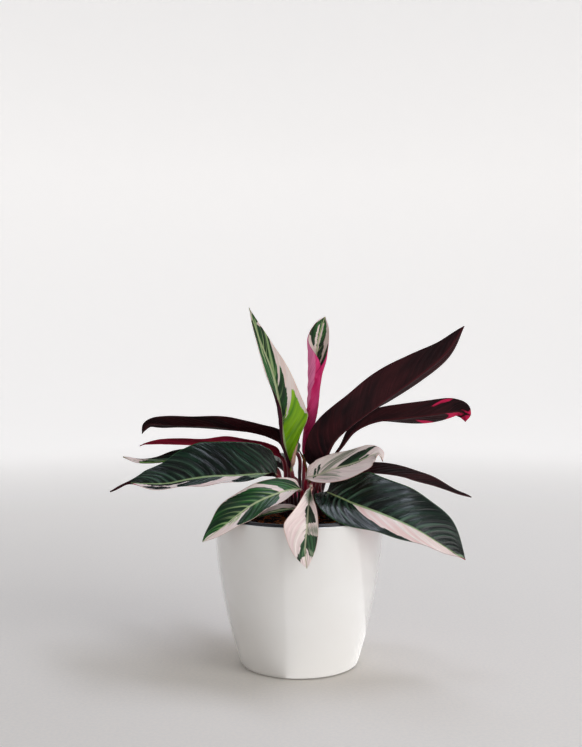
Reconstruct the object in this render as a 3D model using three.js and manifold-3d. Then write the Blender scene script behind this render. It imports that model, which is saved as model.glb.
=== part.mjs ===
// A potted tricolour stromanthe: broad leaves on slim stalks, in a glossy white round planter.
// Millimetres, +Z up. The origin is the centre of the planter's flat underside and -Y is the front.

import * as THREE from 'three';
import { mergeVertices } from 'three/addons/utils/BufferGeometryUtils.js';
import Module from 'manifold-3d';

const wasm = await Module();
wasm.setup();

// Planter

const PLANTER_HEIGHT = 192;
const RIM_RADIUS = 108.5;
const BASE_RADIUS = 75;
const FLARE_POWER = 1.8;
const WALL = 3;
const LIP_RADIUS = 1.5;
const FLOOR = 5;
const FOOT_HEIGHT = 1.6;
const FOOT_INSET = 2;
const NOTCH_WIDTH = 18;
const NOTCH_HEIGHT = 2.6;
const NOTCH_DEPTH = 6;
const NOTCH_ANGLE = -68;
const LIP_STEPS = 4;

// Liner, which lifts out with the plant in it, and the mix that fills it

const LINER_TOP = 195;
const LINER_WALL = 2.4;
const LINER_BEAD = 4.2;
const LINER_BEAD_HEIGHT = 5;
const LINER_FLOOR_TOP = 32;
const LINER_GAP = 0.8;
const MIX_TOP = 188.5;
const MIX_GAP = 0.4;
const MIX_LUMPS = 1.6;
const MIX_RINGS = [0.95, 0.82, 0.64, 0.46, 0.3, 0.14];
const LINER_RING_RADIUS = 54;
const TOUCH_GAP = 0.3;

// Leaves

const STALK_FOOT_RADIUS = 3.2;
const STALK_NECK_RADIUS = 1.9;
const PULVINUS_RADIUS = 2.5;
const PULVINUS_LENGTH = 0.22;
const HOLE_RADIUS = 4.1;
const HOLE_LENGTH = 30;
const HOLE_SIDES = 12;
const HOLE_CLEARANCE = 1.5;
const BLADE_THICKNESS = 0.8;
const RIB_WIDTH = 3;
const TIP_HALF_WIDTH = 0.6;
const JOIN = 0.07;

// Fineness of the faceted solids

const AROUND = 40;
const WALL_STEPS = 6;
const STALK_RINGS = 4;
const BLADE_RINGS = 12;
const ACROSS = 3;
const ACROSS_ROLLED = 6;

const MERGE_DISTANCE = 1e-4;
const CUT_MARGIN = 0.2;

// Colours and finish

const WHITE_GLOSS = '#e9e9e7';
const NEAR_BLACK = '#15161c';
const COIR_BROWN = '#4a3020';
const LEAF_GREEN = '#3c5f3a';
const DARK_GREEN = '#1f3a2c';
const CREAM_PINK = '#e6cdc0';
const ROSE = '#c8527c';
const MAROON = '#3a1519';
const CRIMSON = '#7a1f35';
const BROWN_STALK = '#6d4a2a';
const SHELL_ROUGHNESS = 0.18;
const LINER_ROUGHNESS = 0.45;
const LEAF_ROUGHNESS = 0.4;
const MIX_ROUGHNESS = 0.95;

// Each leaf: stalk runs from under the soil to just below the blade, rib is the midrib from the
// blade's base to its tip, and face is the way that the upper side looks. The other pairs are for
// the left and right halves, looking to the tip with the upper side up: half is the widest
// half-width, fold is how far each half bends up at the rib and curl how far it bends on to its
// margin, both in degrees and listed from base to tip. widest is where along the rib the blade is
// broadest and taper is the power of its outline beyond that. wave is the margin's ripple: height,
// count and phase. Some leaves also have base, the power of the outline before the widest place,
// and pinch, the share of the width that is left, listed from base to tip.

const LEAVES = [
  {
    name: 'leaf_tall_left',
    colour: LEAF_GREEN,
    stalk: [[-3, 4, 168], [-4, 4, 190], [-5, 3, 215]],
    rib: [
      [-9, 3, 243], [-16, 5, 268], [-21, 8, 297], [-25, 12, 330], [-34, 17, 370],
      [-47, 20, 404], [-57, 23, 431], [-65, 27, 456],
    ],
    face: [[0.25, -1, 0.15], [0.1, -1, 0.1], [0, -1, 0], [0, -1, -0.1]],
    half: [13, 36],
    fold: [[70, 30, 15, 10, 20, 20], [30, 10, 10, 12, 10, 10]],
    curl: [[40, 95, 150, 30, 0, 0], [150, 110, 0, 0, 10, 0]],
    widest: [0.42, 0.36],
    taper: [1.1, 0.85],
    wave: [1, 3, 0],
    across: ACROSS_ROLLED,
  },
  {
    name: 'leaf_rolled_pink',
    colour: ROSE,
    stalk: [[7, 12, 168], [7, 13, 190], [6, 14, 220]],
    rib: [
      [7, 20, 255], [10, 22, 287], [16, 25, 321], [19, 27, 354], [22, 28, 386],
      [25, 27, 412], [30, 25, 432], [34, 23, 444],
    ],
    face: [[0, -1, 0.1], [0.1, -1, 0], [0, -1, 0], [0, -1, 0]],
    half: [37, 29],
    fold: [[10, 5, 0, 0, 5], [10, 5, 0, 0, 5]],
    curl: [[290, 290, 285, 270, 205, 110, 75, 40], [250, 250, 250, 228, 130, 85, 60, 35]],
    widest: [0.53, 0.45],
    taper: [1.3, 1.6],
    wave: [0, 1, 0],
    across: ACROSS_ROLLED,
  },
  {
    name: 'leaf_maroon_right',
    colour: MAROON,
    stalk: [[15, -3, 168], [17, -4, 190], [20, -6, 215]],
    rib: [
      [27, -8, 241], [33, -10, 260], [44, -13, 284], [63, -16, 303],
      [89, -19, 323], [118, -22, 345], [152, -25, 370], [183, -27, 397],
      [206, -28, 431],
    ],
    face: [[-0.5, 0.8, 0.2], [-0.4, 0.85, 0.3], [-0.3, 0.9, 0.3], [-0.3, 0.9, 0.3]],
    half: [36, 41],
    fold: [[50, 55, 58, 52, 38, 30], [55, 25, 5, 5, 5, 10]],
    curl: [[0, 0, 0, 0, 0, 0], [-10, -20, -10, 0, 0, 0]],
    widest: [0.42, 0.45],
    taper: [2.2, 2.6],
    wave: [1, 3, 0],
  },
  {
    name: 'leaf_hooked_right',
    colour: CRIMSON,
    stalk: [[22, 14, 168], [25, 16, 190], [31, 21, 220]],
    rib: [
      [41, 28, 255], [57, 32, 275], [74, 36, 294], [101, 40, 306], [135, 44, 310],
      [171, 47, 314], [200, 49, 318], [213, 49, 319], [220, 49, 314], [222, 49, 305],
    ],
    face: [[-0.4, 0.6, 0.6], [-0.2, 0.6, 0.7], [0, 0.6, 0.8], [0, 0.6, 0.8], [0.3, 0.6, 0.7]],
    half: [22, 24],
    fold: [[70, 50, 8, 8, 15], [60, 40, 25, 20, 20]],
    curl: [[0, 0, 0, 0, 0], [0, 0, 0, 0, 0]],
    widest: [0.55, 0.55],
    taper: [2, 2.1],
    wave: [1, 3, 0],
    base: 2,
  },
  {
    name: 'leaf_cream_right',
    colour: CREAM_PINK,
    stalk: [[9, -9, 168], [9, -11, 190], [9, -14, 215]],
    rib: [
      [9, -20, 237], [24, -28, 244], [43, -36, 253], [62, -43, 259], [80, -50, 267],
      [91, -54, 273], [99, -57, 274], [102, -60, 265],
    ],
    face: [[-0.3, -0.5, 0.8], [-0.2, -0.6, 0.8], [0.1, -0.6, 0.8], [0.6, -0.5, 0.6]],
    half: [24, 26],
    fold: [[50, 15, 8, 5, 5], [40, 8, 2, 10, 20]],
    curl: [[0, 0, 0, 0, 0], [0, 0, 0, 0, 0]],
    widest: [0.34, 0.4],
    taper: [1.8, 1.6],
    wave: [1, 2, 0],
  },
  {
    name: 'leaf_dark_right',
    colour: DARK_GREEN,
    stalk: [[21, -18, 168], [24, -21, 188], [28, -27, 208]],
    rib: [
      [33, -36, 222], [48, -51, 220], [66, -64, 214], [103, -76, 202], [139, -84, 187],
      [171, -88, 168], [198, -92, 151],
    ],
    face: [[0.1, -0.5, 0.85], [0.2, -0.62, 0.75], [0.3, -0.68, 0.68], [0.4, -0.6, 0.6]],
    half: [51, 43],
    fold: [[60, 25, 15, 10, 10], [38, 17, 7, 5, 8]],
    curl: [[0, 0, -10, -10, -5], [-20, -20, -10, -10, 0]],
    widest: [0.5, 0.28],
    taper: [3.4, 1.15],
    wave: [1.5, 4, 0],
  },
  {
    name: 'leaf_back_right',
    colour: MAROON,
    stalk: [[27, 2, 168], [28, 3, 190], [28, 5, 212]],
    rib: [
      [29, 8, 233], [61, 14, 243], [96, 18, 242], [127, 22, 238], [153, 25, 231],
      [179, 28, 223], [205, 30, 214], [227, 31, 207],
    ],
    face: [[-0.2, 0.35, 0.9], [0, 0.35, 0.93], [0.2, 0.35, 0.9], [0.3, 0.3, 0.9]],
    half: [19, 25],
    fold: [[60, 20, 15, 10, 10], [50, 20, 15, 10, 10]],
    curl: [[0, 0, 0, 0, 0], [0, 0, 0, 0, 0]],
    widest: [0.45, 0.45],
    taper: [1.8, 1.8],
    wave: [1, 3, 0],
  },
  {
    name: 'leaf_hanging_front',
    colour: CREAM_PINK,
    stalk: [[12, -22, 168], [12, -24, 188], [13, -31, 213], [14, -46, 231]],
    rib: [
      [14, -62, 235], [13, -82, 229], [10, -100, 214], [8, -113, 192],
      [6, -121, 168], [8, -125, 148],
    ],
    face: [[0, 0, 1], [0, -0.4, 1], [0, -0.8, 0.6], [0, -1, 0.3], [0, -1, 0.1]],
    half: [15, 29],
    fold: [[80, 75, 35, 10, 10], [80, 80, 78, 72, 52, 12, 5, 5, 5]],
    curl: [[0, 0, 0, 0, 0], [0, 0, 0, 0, 0]],
    widest: [0.55, 0.58],
    taper: [2.6, 1.25],
    base: 2.4,
    wave: [1, 2, 0],
  },
  {
    name: 'leaf_front_left',
    colour: LEAF_GREEN,
    stalk: [[2, -20, 168], [2, -22, 188], [3, -25, 210]],
    rib: [
      [2, -31, 225], [-16, -40, 226], [-39, -52, 220], [-58, -62, 212],
      [-76, -73, 201], [-94, -84, 188], [-116, -93, 173],
    ],
    face: [[-0.1, -0.5, 0.85], [-0.2, -0.6, 0.8], [-0.3, -0.6, 0.7], [-0.4, -0.6, 0.7]],
    half: [20, 28],
    fold: [[35, 4, 0, 0, 5], [50, 20, 10, 8, 5]],
    curl: [[0, 0, 0, 0, 0], [0, 0, 0, 0, 0]],
    widest: [0.55, 0.6],
    taper: [2, 2.4],
    wave: [1, 3, 0],
  },
  {
    name: 'leaf_dark_left',
    colour: DARK_GREEN,
    stalk: [[-11, -8, 168], [-13, -9, 190], [-17, -10, 215]],
    rib: [
      [-27, -14, 240], [-49, -20, 244], [-79, -26, 243], [-108, -31, 243],
      [-136, -35, 240], [-165, -38, 235], [-194, -40, 235], [-215, -41, 235],
      [-235, -42, 225],
    ],
    face: [[0, -0.55, 0.8], [0, -0.6, 0.77], [-0.1, -0.6, 0.77], [-0.1, -0.5, 0.8]],
    half: [24, 49],
    fold: [[50, 24, 22, 24, 28], [60, 25, 20, 20, 30]],
    curl: [[0, 0, 0, 0, 0], [0, 0, 0, 0, 0]],
    widest: [0.42, 0.42],
    taper: [1.3, 1.1],
    wave: [1.5, 4, 0],
    base: 0.38,
    pinch: [[1, 1, 1, 1, 1, 1, 1, 0.3, 0.3], [1, 1, 1, 1, 1, 0.97, 0.72, 0.25, 0.3]],
  },
  {
    name: 'leaf_maroon_left',
    colour: MAROON,
    stalk: [[-7, 12, 168], [-8, 13, 190], [-11, 15, 225]],
    rib: [
      [-16, 18, 262], [-26, 20, 283], [-51, 24, 292], [-81, 27, 297],
      [-112, 28, 301], [-143, 30, 302], [-174, 30, 303], [-196, 29, 303],
      [-206, 28, 291],
    ],
    face: [[0.3, 0.3, 0.8], [0, 0.45, 0.9], [-0.1, 0.45, 0.9], [-0.3, 0.4, 0.8]],
    half: [22, 25],
    fold: [[50, 20, 15, 10, 10], [60, 20, 15, 10, 10]],
    curl: [[0, 0, 0, 0, 0], [0, 0, 0, 0, 0]],
    widest: [0.45, 0.45],
    taper: [3.4, 2.8],
    wave: [1, 3, 0],
  },
  {
    name: 'leaf_crimson_left',
    colour: CRIMSON,
    stalk: [[-15, 18, 168], [-16, 19, 190], [-17, 20, 225]],
    rib: [
      [-21, 24, 258], [-41, 29, 268], [-66, 35, 272], [-92, 40, 274], [-123, 42, 275],
      [-154, 42, 276], [-184, 40, 277], [-202, 37, 277], [-210, 36, 274],
    ],
    face: [[0, 0.1, 1], [0, 0.15, 1], [0, 0.2, 1], [0, 0.2, 1]],
    half: [20, 16],
    fold: [[60, 45, 38, 38, 30, 18, 12], [40, 10, 5, 5, 5]],
    curl: [[0, 0, 0, 0, 0], [0, 0, 0, 0, 0]],
    widest: [0.5, 0.5],
    taper: [1.9, 1.9],
    wave: [1, 3, 0],
    pinch: [[1, 1, 1, 0.95, 0.6, 0.72, 0.65, 0.6, 0.6], [1, 1]],
  },
  {
    name: 'leaf_striped_left',
    colour: LEAF_GREEN,
    stalk: [[-20, 4, 168], [-21, 4, 190], [-23, 4, 218]],
    rib: [
      [-27, 4, 245], [-42, 5, 256], [-65, 8, 262], [-96, 12, 264], [-126, 13, 265],
      [-156, 12, 262], [-181, 10, 257], [-206, 8, 257], [-227, 6, 263],
    ],
    face: [[0, -0.1, 1], [0, -0.25, 1], [0, -0.25, 1], [0, -0.2, 1]],
    half: [20, 18],
    fold: [[50, 20, 15, 10, 10], [60, 20, 15, 10, 10]],
    curl: [[0, 0, 0, 0, 0], [0, 0, 0, 0, 0]],
    widest: [0.5, 0.55],
    taper: [1.9, 1.9],
    wave: [1, 3, 0],
  },
  {
    name: 'leaf_low_front',
    colour: LEAF_GREEN,
    stalk: [[-5, -14, 168], [-5, -16, 186], [-5, -18, 192]],
    rib: [[-2, -25, 199], [-14, -31, 201], [-30, -38, 200], [-45, -43, 197], [-55, -46, 194]],
    face: [[0, -0.5, 0.9], [-0.2, -0.5, 0.9]],
    half: [9, 9],
    fold: [[40, 20, 10], [40, 20, 10]],
    curl: [[0, 0, 0], [0, 0, 0]],
    widest: [0.45, 0.45],
    taper: [1.8, 1.8],
    wave: [0.5, 2, 0],
  },
  {
    name: 'leaf_back_left',
    colour: DARK_GREEN,
    stalk: [[-12, 26, 168], [-12, 27, 190], [-12, 28, 212]],
    rib: [[-14, 34, 236], [-31, 62, 247], [-52, 100, 246], [-72, 140, 236], [-88, 178, 216]],
    face: [[0, 0.1, 1], [-0.2, 0.1, 1], [-0.3, 0.4, 0.9]],
    half: [24, 24],
    fold: [[55, 25, 20, 15, 10], [55, 25, 20, 15, 10]],
    curl: [[0, 0, 0, 0, 0], [0, 0, 0, 0, 0]],
    widest: [0.42, 0.42],
    taper: [1.8, 1.8],
    wave: [1.2, 3, 0],
  },
  {
    name: 'leaf_back',
    colour: LEAF_GREEN,
    stalk: [[4, 32, 168], [4, 34, 188], [5, 38, 205]],
    rib: [[6, 46, 217], [8, 68, 222], [9, 97, 216], [9, 130, 198], [9, 155, 172], [8, 168, 145]],
    face: [[0, 0.1, 1], [0, 0.3, 1], [0, 0.8, 0.6]],
    half: [24, 26],
    fold: [[55, 20, 10, 10, 10], [55, 20, 10, 10, 10]],
    curl: [[0, 0, 0, 0, 0], [0, 0, 0, 0, 0]],
    widest: [0.42, 0.42],
    taper: [1.8, 1.8],
    wave: [1.2, 3, 1],
  },
  {
    name: 'leaf_back_right_low',
    colour: DARK_GREEN,
    stalk: [[19, 27, 168], [20, 28, 190], [20, 30, 208]],
    rib: [[23, 38, 228], [42, 66, 240], [62, 100, 242], [80, 136, 232], [93, 165, 213]],
    face: [[0, 0.1, 1], [0.2, 0.1, 1], [0.3, 0.4, 0.9]],
    half: [22, 24],
    fold: [[55, 25, 20, 15, 10], [55, 25, 20, 15, 10]],
    curl: [[0, 0, 0, 0, 0], [0, 0, 0, 0, 0]],
    widest: [0.42, 0.42],
    taper: [1.8, 1.8],
    wave: [1.2, 3, 2],
  },
  {
    name: 'leaf_back_right_tall',
    colour: MAROON,
    stalk: [[13, 20, 168], [14, 21, 195], [16, 26, 232]],
    rib: [
      [22, 38, 268], [42, 56, 300], [67, 71, 325], [95, 84, 348],
      [124, 94, 362], [149, 101, 378],
    ],
    face: [[-0.6, 0.2, 0.75], [-0.5, 0.25, 0.8], [-0.4, 0.3, 0.8]],
    half: [23, 23],
    fold: [[55, 20, 10, 10, 10], [55, 20, 10, 10, 10]],
    curl: [[0, 0, 0, 0, 0], [0, 0, 0, 0, 0]],
    widest: [0.42, 0.42],
    taper: [1.8, 1.8],
    wave: [1, 3, 2],
  },
  {
    name: 'leaf_back_left_tall',
    colour: LEAF_GREEN,
    stalk: [[-1, 21, 168], [0, 22, 195], [1, 28, 235]],
    rib: [
      [-1, 38, 262], [-25, 58, 278], [-60, 78, 290], [-95, 95, 297],
      [-130, 110, 300], [-160, 121, 296],
    ],
    face: [[0.3, 0.05, 1], [0, 0.05, 1], [-0.1, 0.05, 1]],
    half: [22, 23],
    fold: [[55, 20, 10, 10, 5], [55, 20, 10, 10, 5]],
    curl: [[0, 0, 0, 0, 0], [0, 0, 0, 0, 0]],
    widest: [0.42, 0.42],
    taper: [1.8, 1.8],
    wave: [0.8, 3, 2],
  },
];

// Thin brown stalks of spent bracts that stand between the leaves.

const BRACTS = [
  { name: 'bract_left', path: [[4, -2, 168], [6, -3, 205], [10, -4, 240], [7, -5, 258], [0, -5, 273]] },
  { name: 'bract_right', path: [[15, 4, 168], [15, 4, 205], [14, 3, 240], [15, 2, 260], [18, 1, 276]] },
];
const BRACT_RADIUS = 1.6;
const BRACT_SIDES = 8;

// Curves and interpolation

const vector = (point) => new THREE.Vector3(...point);

// A smooth value at t, 0 to 1, through a list of evenly spaced numbers.
function along(values, t) {
  const place = THREE.MathUtils.clamp(t, 0, 1) * (values.length - 1);
  const start = Math.min(Math.floor(place), values.length - 2);
  const before = values[Math.max(start - 1, 0)];
  const after = values[Math.min(start + 2, values.length - 1)];
  const f = place - start;
  const [a, b] = [values[start], values[start + 1]];
  const bend = (2 * before - 5 * a + 4 * b - after) * f * f;
  const twist = (3 * a - before - 3 * b + after) * f ** 3;
  return 0.5 * (2 * a + (b - before) * f + bend + twist);
}

function smoothstep(low, high, value) {
  return THREE.MathUtils.smoothstep(value, low, high);
}

// The share of its widest that a half has at t: round at the base, drawn out to the tip.
function outline(leaf, side, t) {
  const widest = leaf.widest[side];
  const left = leaf.pinch ? along(leaf.pinch[side], t) : 1;
  if (t < widest) return left * (1 - (1 - t / widest) ** 2) ** (leaf.base ?? 0.5);
  return left * (1 - ((t - widest) / (1 - widest)) ** leaf.taper[side]);
}

// The blade's stations along its rib, closer together at both ends.
function stationAt(step) {
  return step - 0.09 * Math.sin(2 * Math.PI * step);
}

// Leaves

// The direction of the path, the way the upper side looks and the way to the right half.
function frameAt(curve, leaf, u, t) {
  const ahead = curve.getPoint(Math.min(u + 0.001, 1));
  const tangent = ahead.sub(curve.getPoint(Math.max(u - 0.001, 0))).normalize();
  const faces = leaf.face.map((face) => vector(face).normalize());
  const up = new THREE.Vector3(
    along(faces.map((face) => face.x), t),
    along(faces.map((face) => face.y), t),
    along(faces.map((face) => face.z), t),
  );
  up.addScaledVector(tangent, -up.dot(tangent)).normalize();
  return { up, right: new THREE.Vector3().crossVectors(tangent, up) };
}

// One half of the blade's section: points of its upper side and the upward normals there.
function halfSection(leaf, side, t, across) {
  const sign = side === 0 ? -1 : 1;
  const half = Math.max(leaf.half[side] * outline(leaf, side, t), TIP_HALF_WIDTH);
  const fold = THREE.MathUtils.degToRad(along(leaf.fold[side], t));
  const curl = THREE.MathUtils.degToRad(along(leaf.curl[side], t));
  const [height, count, phase] = leaf.wave;
  const points = [];
  let x = 0;
  let z = 0;
  for (let j = 0; j <= across; j += 1) {
    const v = j / across;
    if (j > 0) {
      const chord = fold + (curl * (j - 0.5)) / across;
      x += (half / across) * Math.cos(chord);
      z += (half / across) * Math.sin(chord);
    }
    const angle = fold + curl * v;
    const ripple = height * v * v * Math.sin(2 * Math.PI * count * t + phase + 1.7 * side);
    points.push({
      x: sign * (x - ripple * Math.sin(angle)),
      z: z + ripple * Math.cos(angle),
      normalX: j === 0 ? 0 : -sign * Math.sin(angle),
      normalZ: j === 0 ? 1 : Math.cos(angle),
      fromRib: v * half,
    });
  }
  return points;
}

// A ring of the blade: the upper side from left to right, then the lower side back again.
function bladeRing(leaf, t, across) {
  const left = halfSection(leaf, 0, t, across).reverse();
  const right = halfSection(leaf, 1, t, across).slice(1);
  const upper = [...left, ...right];
  const ribDepth = THREE.MathUtils.lerp(2 * STALK_NECK_RADIUS, BLADE_THICKNESS, Math.sqrt(t));
  const lower = upper.map((point) => {
    const ridge = (ribDepth - BLADE_THICKNESS) * Math.exp(-((point.fromRib / RIB_WIDTH) ** 2));
    const depth = BLADE_THICKNESS + ridge;
    return { x: point.x - depth * point.normalX, z: point.z - depth * point.normalZ };
  });
  return [...upper, ...lower.reverse()];
}

// A round ring of the stalk with as many points as the blade's rings.
function stalkRing(radius, across) {
  const sides = 4 * across + 2;
  const ring = [];
  for (let j = 0; j < sides; j += 1) {
    const angle = Math.PI - ((j + 0.5) * 2 * Math.PI) / sides;
    ring.push({ x: radius * Math.cos(angle), z: radius * Math.sin(angle) });
  }
  return ring;
}

// The stalk narrows from its sheathing foot and swells in the joint below the blade.
function stalkRadius(s) {
  const tube = THREE.MathUtils.lerp(STALK_FOOT_RADIUS, STALK_NECK_RADIUS, Math.sqrt(s));
  const swelling = smoothstep(1 - 2 * PULVINUS_LENGTH, 1 - PULVINUS_LENGTH, s);
  return THREE.MathUtils.lerp(tube, PULVINUS_RADIUS, swelling);
}

function leafGeometry(leaf) {
  const across = leaf.across ?? ACROSS;
  const curve = new THREE.CatmullRomCurve3([...leaf.stalk, ...leaf.rib].map(vector), false, 'catmullrom');
  const base = leaf.stalk.length / (leaf.stalk.length + leaf.rib.length - 1);
  const rings = [];
  const addRing = (section, u, t) => {
    const centre = curve.getPoint(u);
    const { up, right } = frameAt(curve, leaf, u, t);
    rings.push(section.map(({ x, z }) => (
      centre.clone().addScaledVector(right, x).addScaledVector(up, z)
    )));
  };
  for (let step = 0; step < STALK_RINGS; step += 1) {
    const s = step / STALK_RINGS;
    addRing(stalkRing(stalkRadius(s), across), s * base, 0);
  }
  for (let step = 0; step <= BLADE_RINGS; step += 1) {
    const t = stationAt(step / BLADE_RINGS);
    const joined = smoothstep(0, JOIN, t);
    const round = stalkRing(PULVINUS_RADIUS, across);
    const section = bladeRing(leaf, t, across).map((point, j) => ({
      x: THREE.MathUtils.lerp(round[j].x, point.x, joined),
      z: THREE.MathUtils.lerp(round[j].z, point.z, joined),
    }));
    addRing(section, base + (1 - base) * t, t);
  }
  return loftedRings(rings);
}

// One closed body from rings that all have as many points, capped by a fan at each end. The
// quads of a blade's two sides are split along matching diagonals, so that they never cross.
function loftedRings(rings) {
  const sides = rings[0].length;
  const positions = rings.flat().flatMap((point) => [point.x, point.y, point.z]);
  const triangles = [];
  for (let i = 0; i < rings.length - 1; i += 1) {
    for (let j = 0; j < sides; j += 1) {
      const next = (j + 1) % sides;
      const [a, b] = [i * sides + j, i * sides + next];
      const [c, d] = [a + sides, b + sides];
      if (j < sides / 2) triangles.push(a, b, d, a, d, c);
      else triangles.push(a, b, c, b, d, c);
    }
  }
  [0, rings.length - 1].forEach((i) => {
    const centre = rings[i].reduce((sum, point) => sum.add(point), new THREE.Vector3());
    centre.divideScalar(sides);
    const hub = positions.length / 3;
    positions.push(centre.x, centre.y, centre.z);
    for (let j = 0; j < sides; j += 1) {
      const [a, b] = [i * sides + j, i * sides + ((j + 1) % sides)];
      if (i === 0) triangles.push(hub, b, a);
      else triangles.push(hub, a, b);
    }
  });
  const geometry = new THREE.BufferGeometry();
  geometry.setAttribute('position', new THREE.Float32BufferAttribute(positions, 3));
  geometry.setIndex(triangles);
  return geometry;
}

// A plain tube along a path.
function tubeGeometry(path, radius, sides) {
  const curve = new THREE.CatmullRomCurve3(path.map(vector), false, 'catmullrom');
  const section = new THREE.Shape();
  section.absarc(0, 0, radius, 0, 2 * Math.PI);
  return new THREE.ExtrudeGeometry(section, {
    steps: 2 * path.length,
    curveSegments: sides / 2,
    extrudePath: curve,
  });
}

// Planter

// The radius of the planter's outside at a height: a cone that flares less towards the rim. The
// liner goes on straight up above it.
function outerRadius(height) {
  const rise = 1 - Math.max(1 - height / PLANTER_HEIGHT, 0) ** FLARE_POWER;
  return BASE_RADIUS + (RIM_RADIUS - BASE_RADIUS) * rise;
}

function wallProfile(offset, from, to) {
  return Array.from({ length: WALL_STEPS + 1 }, (_, step) => {
    const height = THREE.MathUtils.lerp(from, to, step / WALL_STEPS);
    return new THREE.Vector2(outerRadius(height) - offset, height);
  });
}

// A turned body from its section, with the axis upright.
function turned(profile) {
  const geometry = new THREE.LatheGeometry(profile, AROUND);
  geometry.rotateX(Math.PI / 2);
  return geometry;
}

function shellGeometry() {
  const footRadius = BASE_RADIUS - FOOT_INSET;
  const lipBase = PLANTER_HEIGHT - LIP_RADIUS;
  const lip = new THREE.Shape();
  lip.absarc(RIM_RADIUS - LIP_RADIUS, lipBase, LIP_RADIUS, 0, Math.PI);
  const profile = [
    new THREE.Vector2(0, 0),
    new THREE.Vector2(footRadius, 0),
    new THREE.Vector2(footRadius, FOOT_HEIGHT),
    ...wallProfile(0, FOOT_HEIGHT, lipBase).slice(0, -1),
    ...lip.getPoints(LIP_STEPS),
    ...wallProfile(WALL, FLOOR, lipBase).slice(0, -1).reverse(),
    new THREE.Vector2(0, FLOOR),
  ];
  const notch = new THREE.BoxGeometry(NOTCH_DEPTH, NOTCH_WIDTH, NOTCH_HEIGHT);
  notch.translate(BASE_RADIUS, 0, NOTCH_HEIGHT / 2 - CUT_MARGIN);
  notch.rotateZ(THREE.MathUtils.degToRad(NOTCH_ANGLE));
  return toGeometry(toSolid(turned(profile)).subtract(toSolid(notch)));
}

// The liner stands on a ring below its floor, over the space where water is kept.
function linerGeometry() {
  const outside = WALL + LINER_GAP;
  const inside = outside + LINER_WALL;
  const floorBottom = LINER_FLOOR_TOP - LINER_WALL;
  const beadBottom = LINER_TOP - LINER_BEAD_HEIGHT;
  return turned([
    new THREE.Vector2(0, floorBottom),
    new THREE.Vector2(LINER_RING_RADIUS - LINER_WALL, floorBottom),
    new THREE.Vector2(LINER_RING_RADIUS - LINER_WALL, FLOOR + TOUCH_GAP),
    new THREE.Vector2(LINER_RING_RADIUS, FLOOR + TOUCH_GAP),
    new THREE.Vector2(LINER_RING_RADIUS, floorBottom),
    ...wallProfile(outside, floorBottom, LINER_TOP),
    new THREE.Vector2(outerRadius(LINER_TOP) - outside - LINER_BEAD, LINER_TOP),
    new THREE.Vector2(outerRadius(beadBottom) - outside - LINER_BEAD, beadBottom),
    ...wallProfile(inside, LINER_FLOOR_TOP, beadBottom).reverse(),
    new THREE.Vector2(0, LINER_FLOOR_TOP),
  ]);
}

// The height of the mix's lumpy top over a place.
function mixTop(x, y) {
  const coarse = Math.sin(x * 0.11 + 1.3) * Math.cos(y * 0.13);
  const fine = Math.sin(x * 0.31 + y * 0.17) * Math.cos(y * 0.29 - x * 0.12);
  return MIX_TOP + MIX_LUMPS * (0.6 * coarse + 0.4 * fine);
}

function mixGeometry() {
  const inset = WALL + LINER_GAP + LINER_WALL + MIX_GAP;
  const floor = LINER_FLOOR_TOP + TOUCH_GAP;
  const edge = MIX_TOP - 2 * MIX_LUMPS;
  const ring = (radius, heightAt) => Array.from({ length: AROUND }, (_, step) => {
    const angle = (2 * Math.PI * step) / AROUND;
    const [x, y] = [radius * Math.cos(angle), radius * Math.sin(angle)];
    return new THREE.Vector3(x, y, heightAt(x, y));
  });
  const side = wallProfile(inset, floor, edge).map(({ x, y }) => ring(x, () => y));
  const top = MIX_RINGS.map((share) => ring(share * (outerRadius(edge) - inset), mixTop));
  const holes = LEAVES.map((leaf) => holeGeometry(leaf.stalk));
  holes.push(...BRACTS.map((bract) => holeGeometry(bract.path)));
  const block = toSolid(loftedRings([...side, ...top]));
  const drilled = holes.reduce((mix, hole) => mix.subtract(toSolid(hole)), block);
  return toGeometry(largestBody(drilled));
}

// Without the crumbs that holes side by side cut loose.
function largestBody(solid) {
  return solid.decompose().reduce((best, body) => (body.volume() > best.volume() ? body : best));
}

// The plain hole that a stalk stands in, from below its foot to over the mix.
function holeGeometry(path) {
  const [foot, above] = path.map(vector);
  const way = above.clone().sub(foot).normalize();
  const start = foot.clone().addScaledVector(way, -HOLE_CLEARANCE);
  const section = new THREE.CylinderGeometry(HOLE_RADIUS, HOLE_RADIUS, HOLE_LENGTH, HOLE_SIDES);
  section.rotateX(Math.PI / 2);
  section.translate(0, 0, HOLE_LENGTH / 2);
  section.applyQuaternion(new THREE.Quaternion().setFromUnitVectors(new THREE.Vector3(0, 0, 1), way));
  return section.translate(start.x, start.y, start.z);
}

// Solids for cutting and joining

function toSolid(geometry) {
  const bare = geometry.clone();
  bare.deleteAttribute('normal');
  bare.deleteAttribute('uv');
  const merged = mergeVertices(bare, MERGE_DISTANCE);
  const corners = Array.from(merged.index.array);
  const triangles = [];
  for (let i = 0; i < corners.length; i += 3) {
    const [a, b, c] = corners.slice(i, i + 3);
    if (a !== b && b !== c && c !== a) triangles.push(a, b, c);
  }
  return new wasm.Manifold(new wasm.Mesh({
    numProp: 3,
    vertProperties: new Float32Array(merged.attributes.position.array),
    triVerts: new Uint32Array(triangles),
  }));
}

function toGeometry(solid) {
  const mesh = solid.getMesh();
  const geometry = new THREE.BufferGeometry();
  geometry.setAttribute('position', new THREE.BufferAttribute(mesh.vertProperties, 3));
  geometry.setIndex(new THREE.BufferAttribute(mesh.triVerts, 1));
  return geometry;
}

// Assembly

function piece(name, geometry, color, roughness) {
  const material = new THREE.MeshStandardMaterial({ color, roughness, metalness: 0 });
  const mesh = new THREE.Mesh(geometry, material);
  mesh.name = name;
  return mesh;
}

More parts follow.
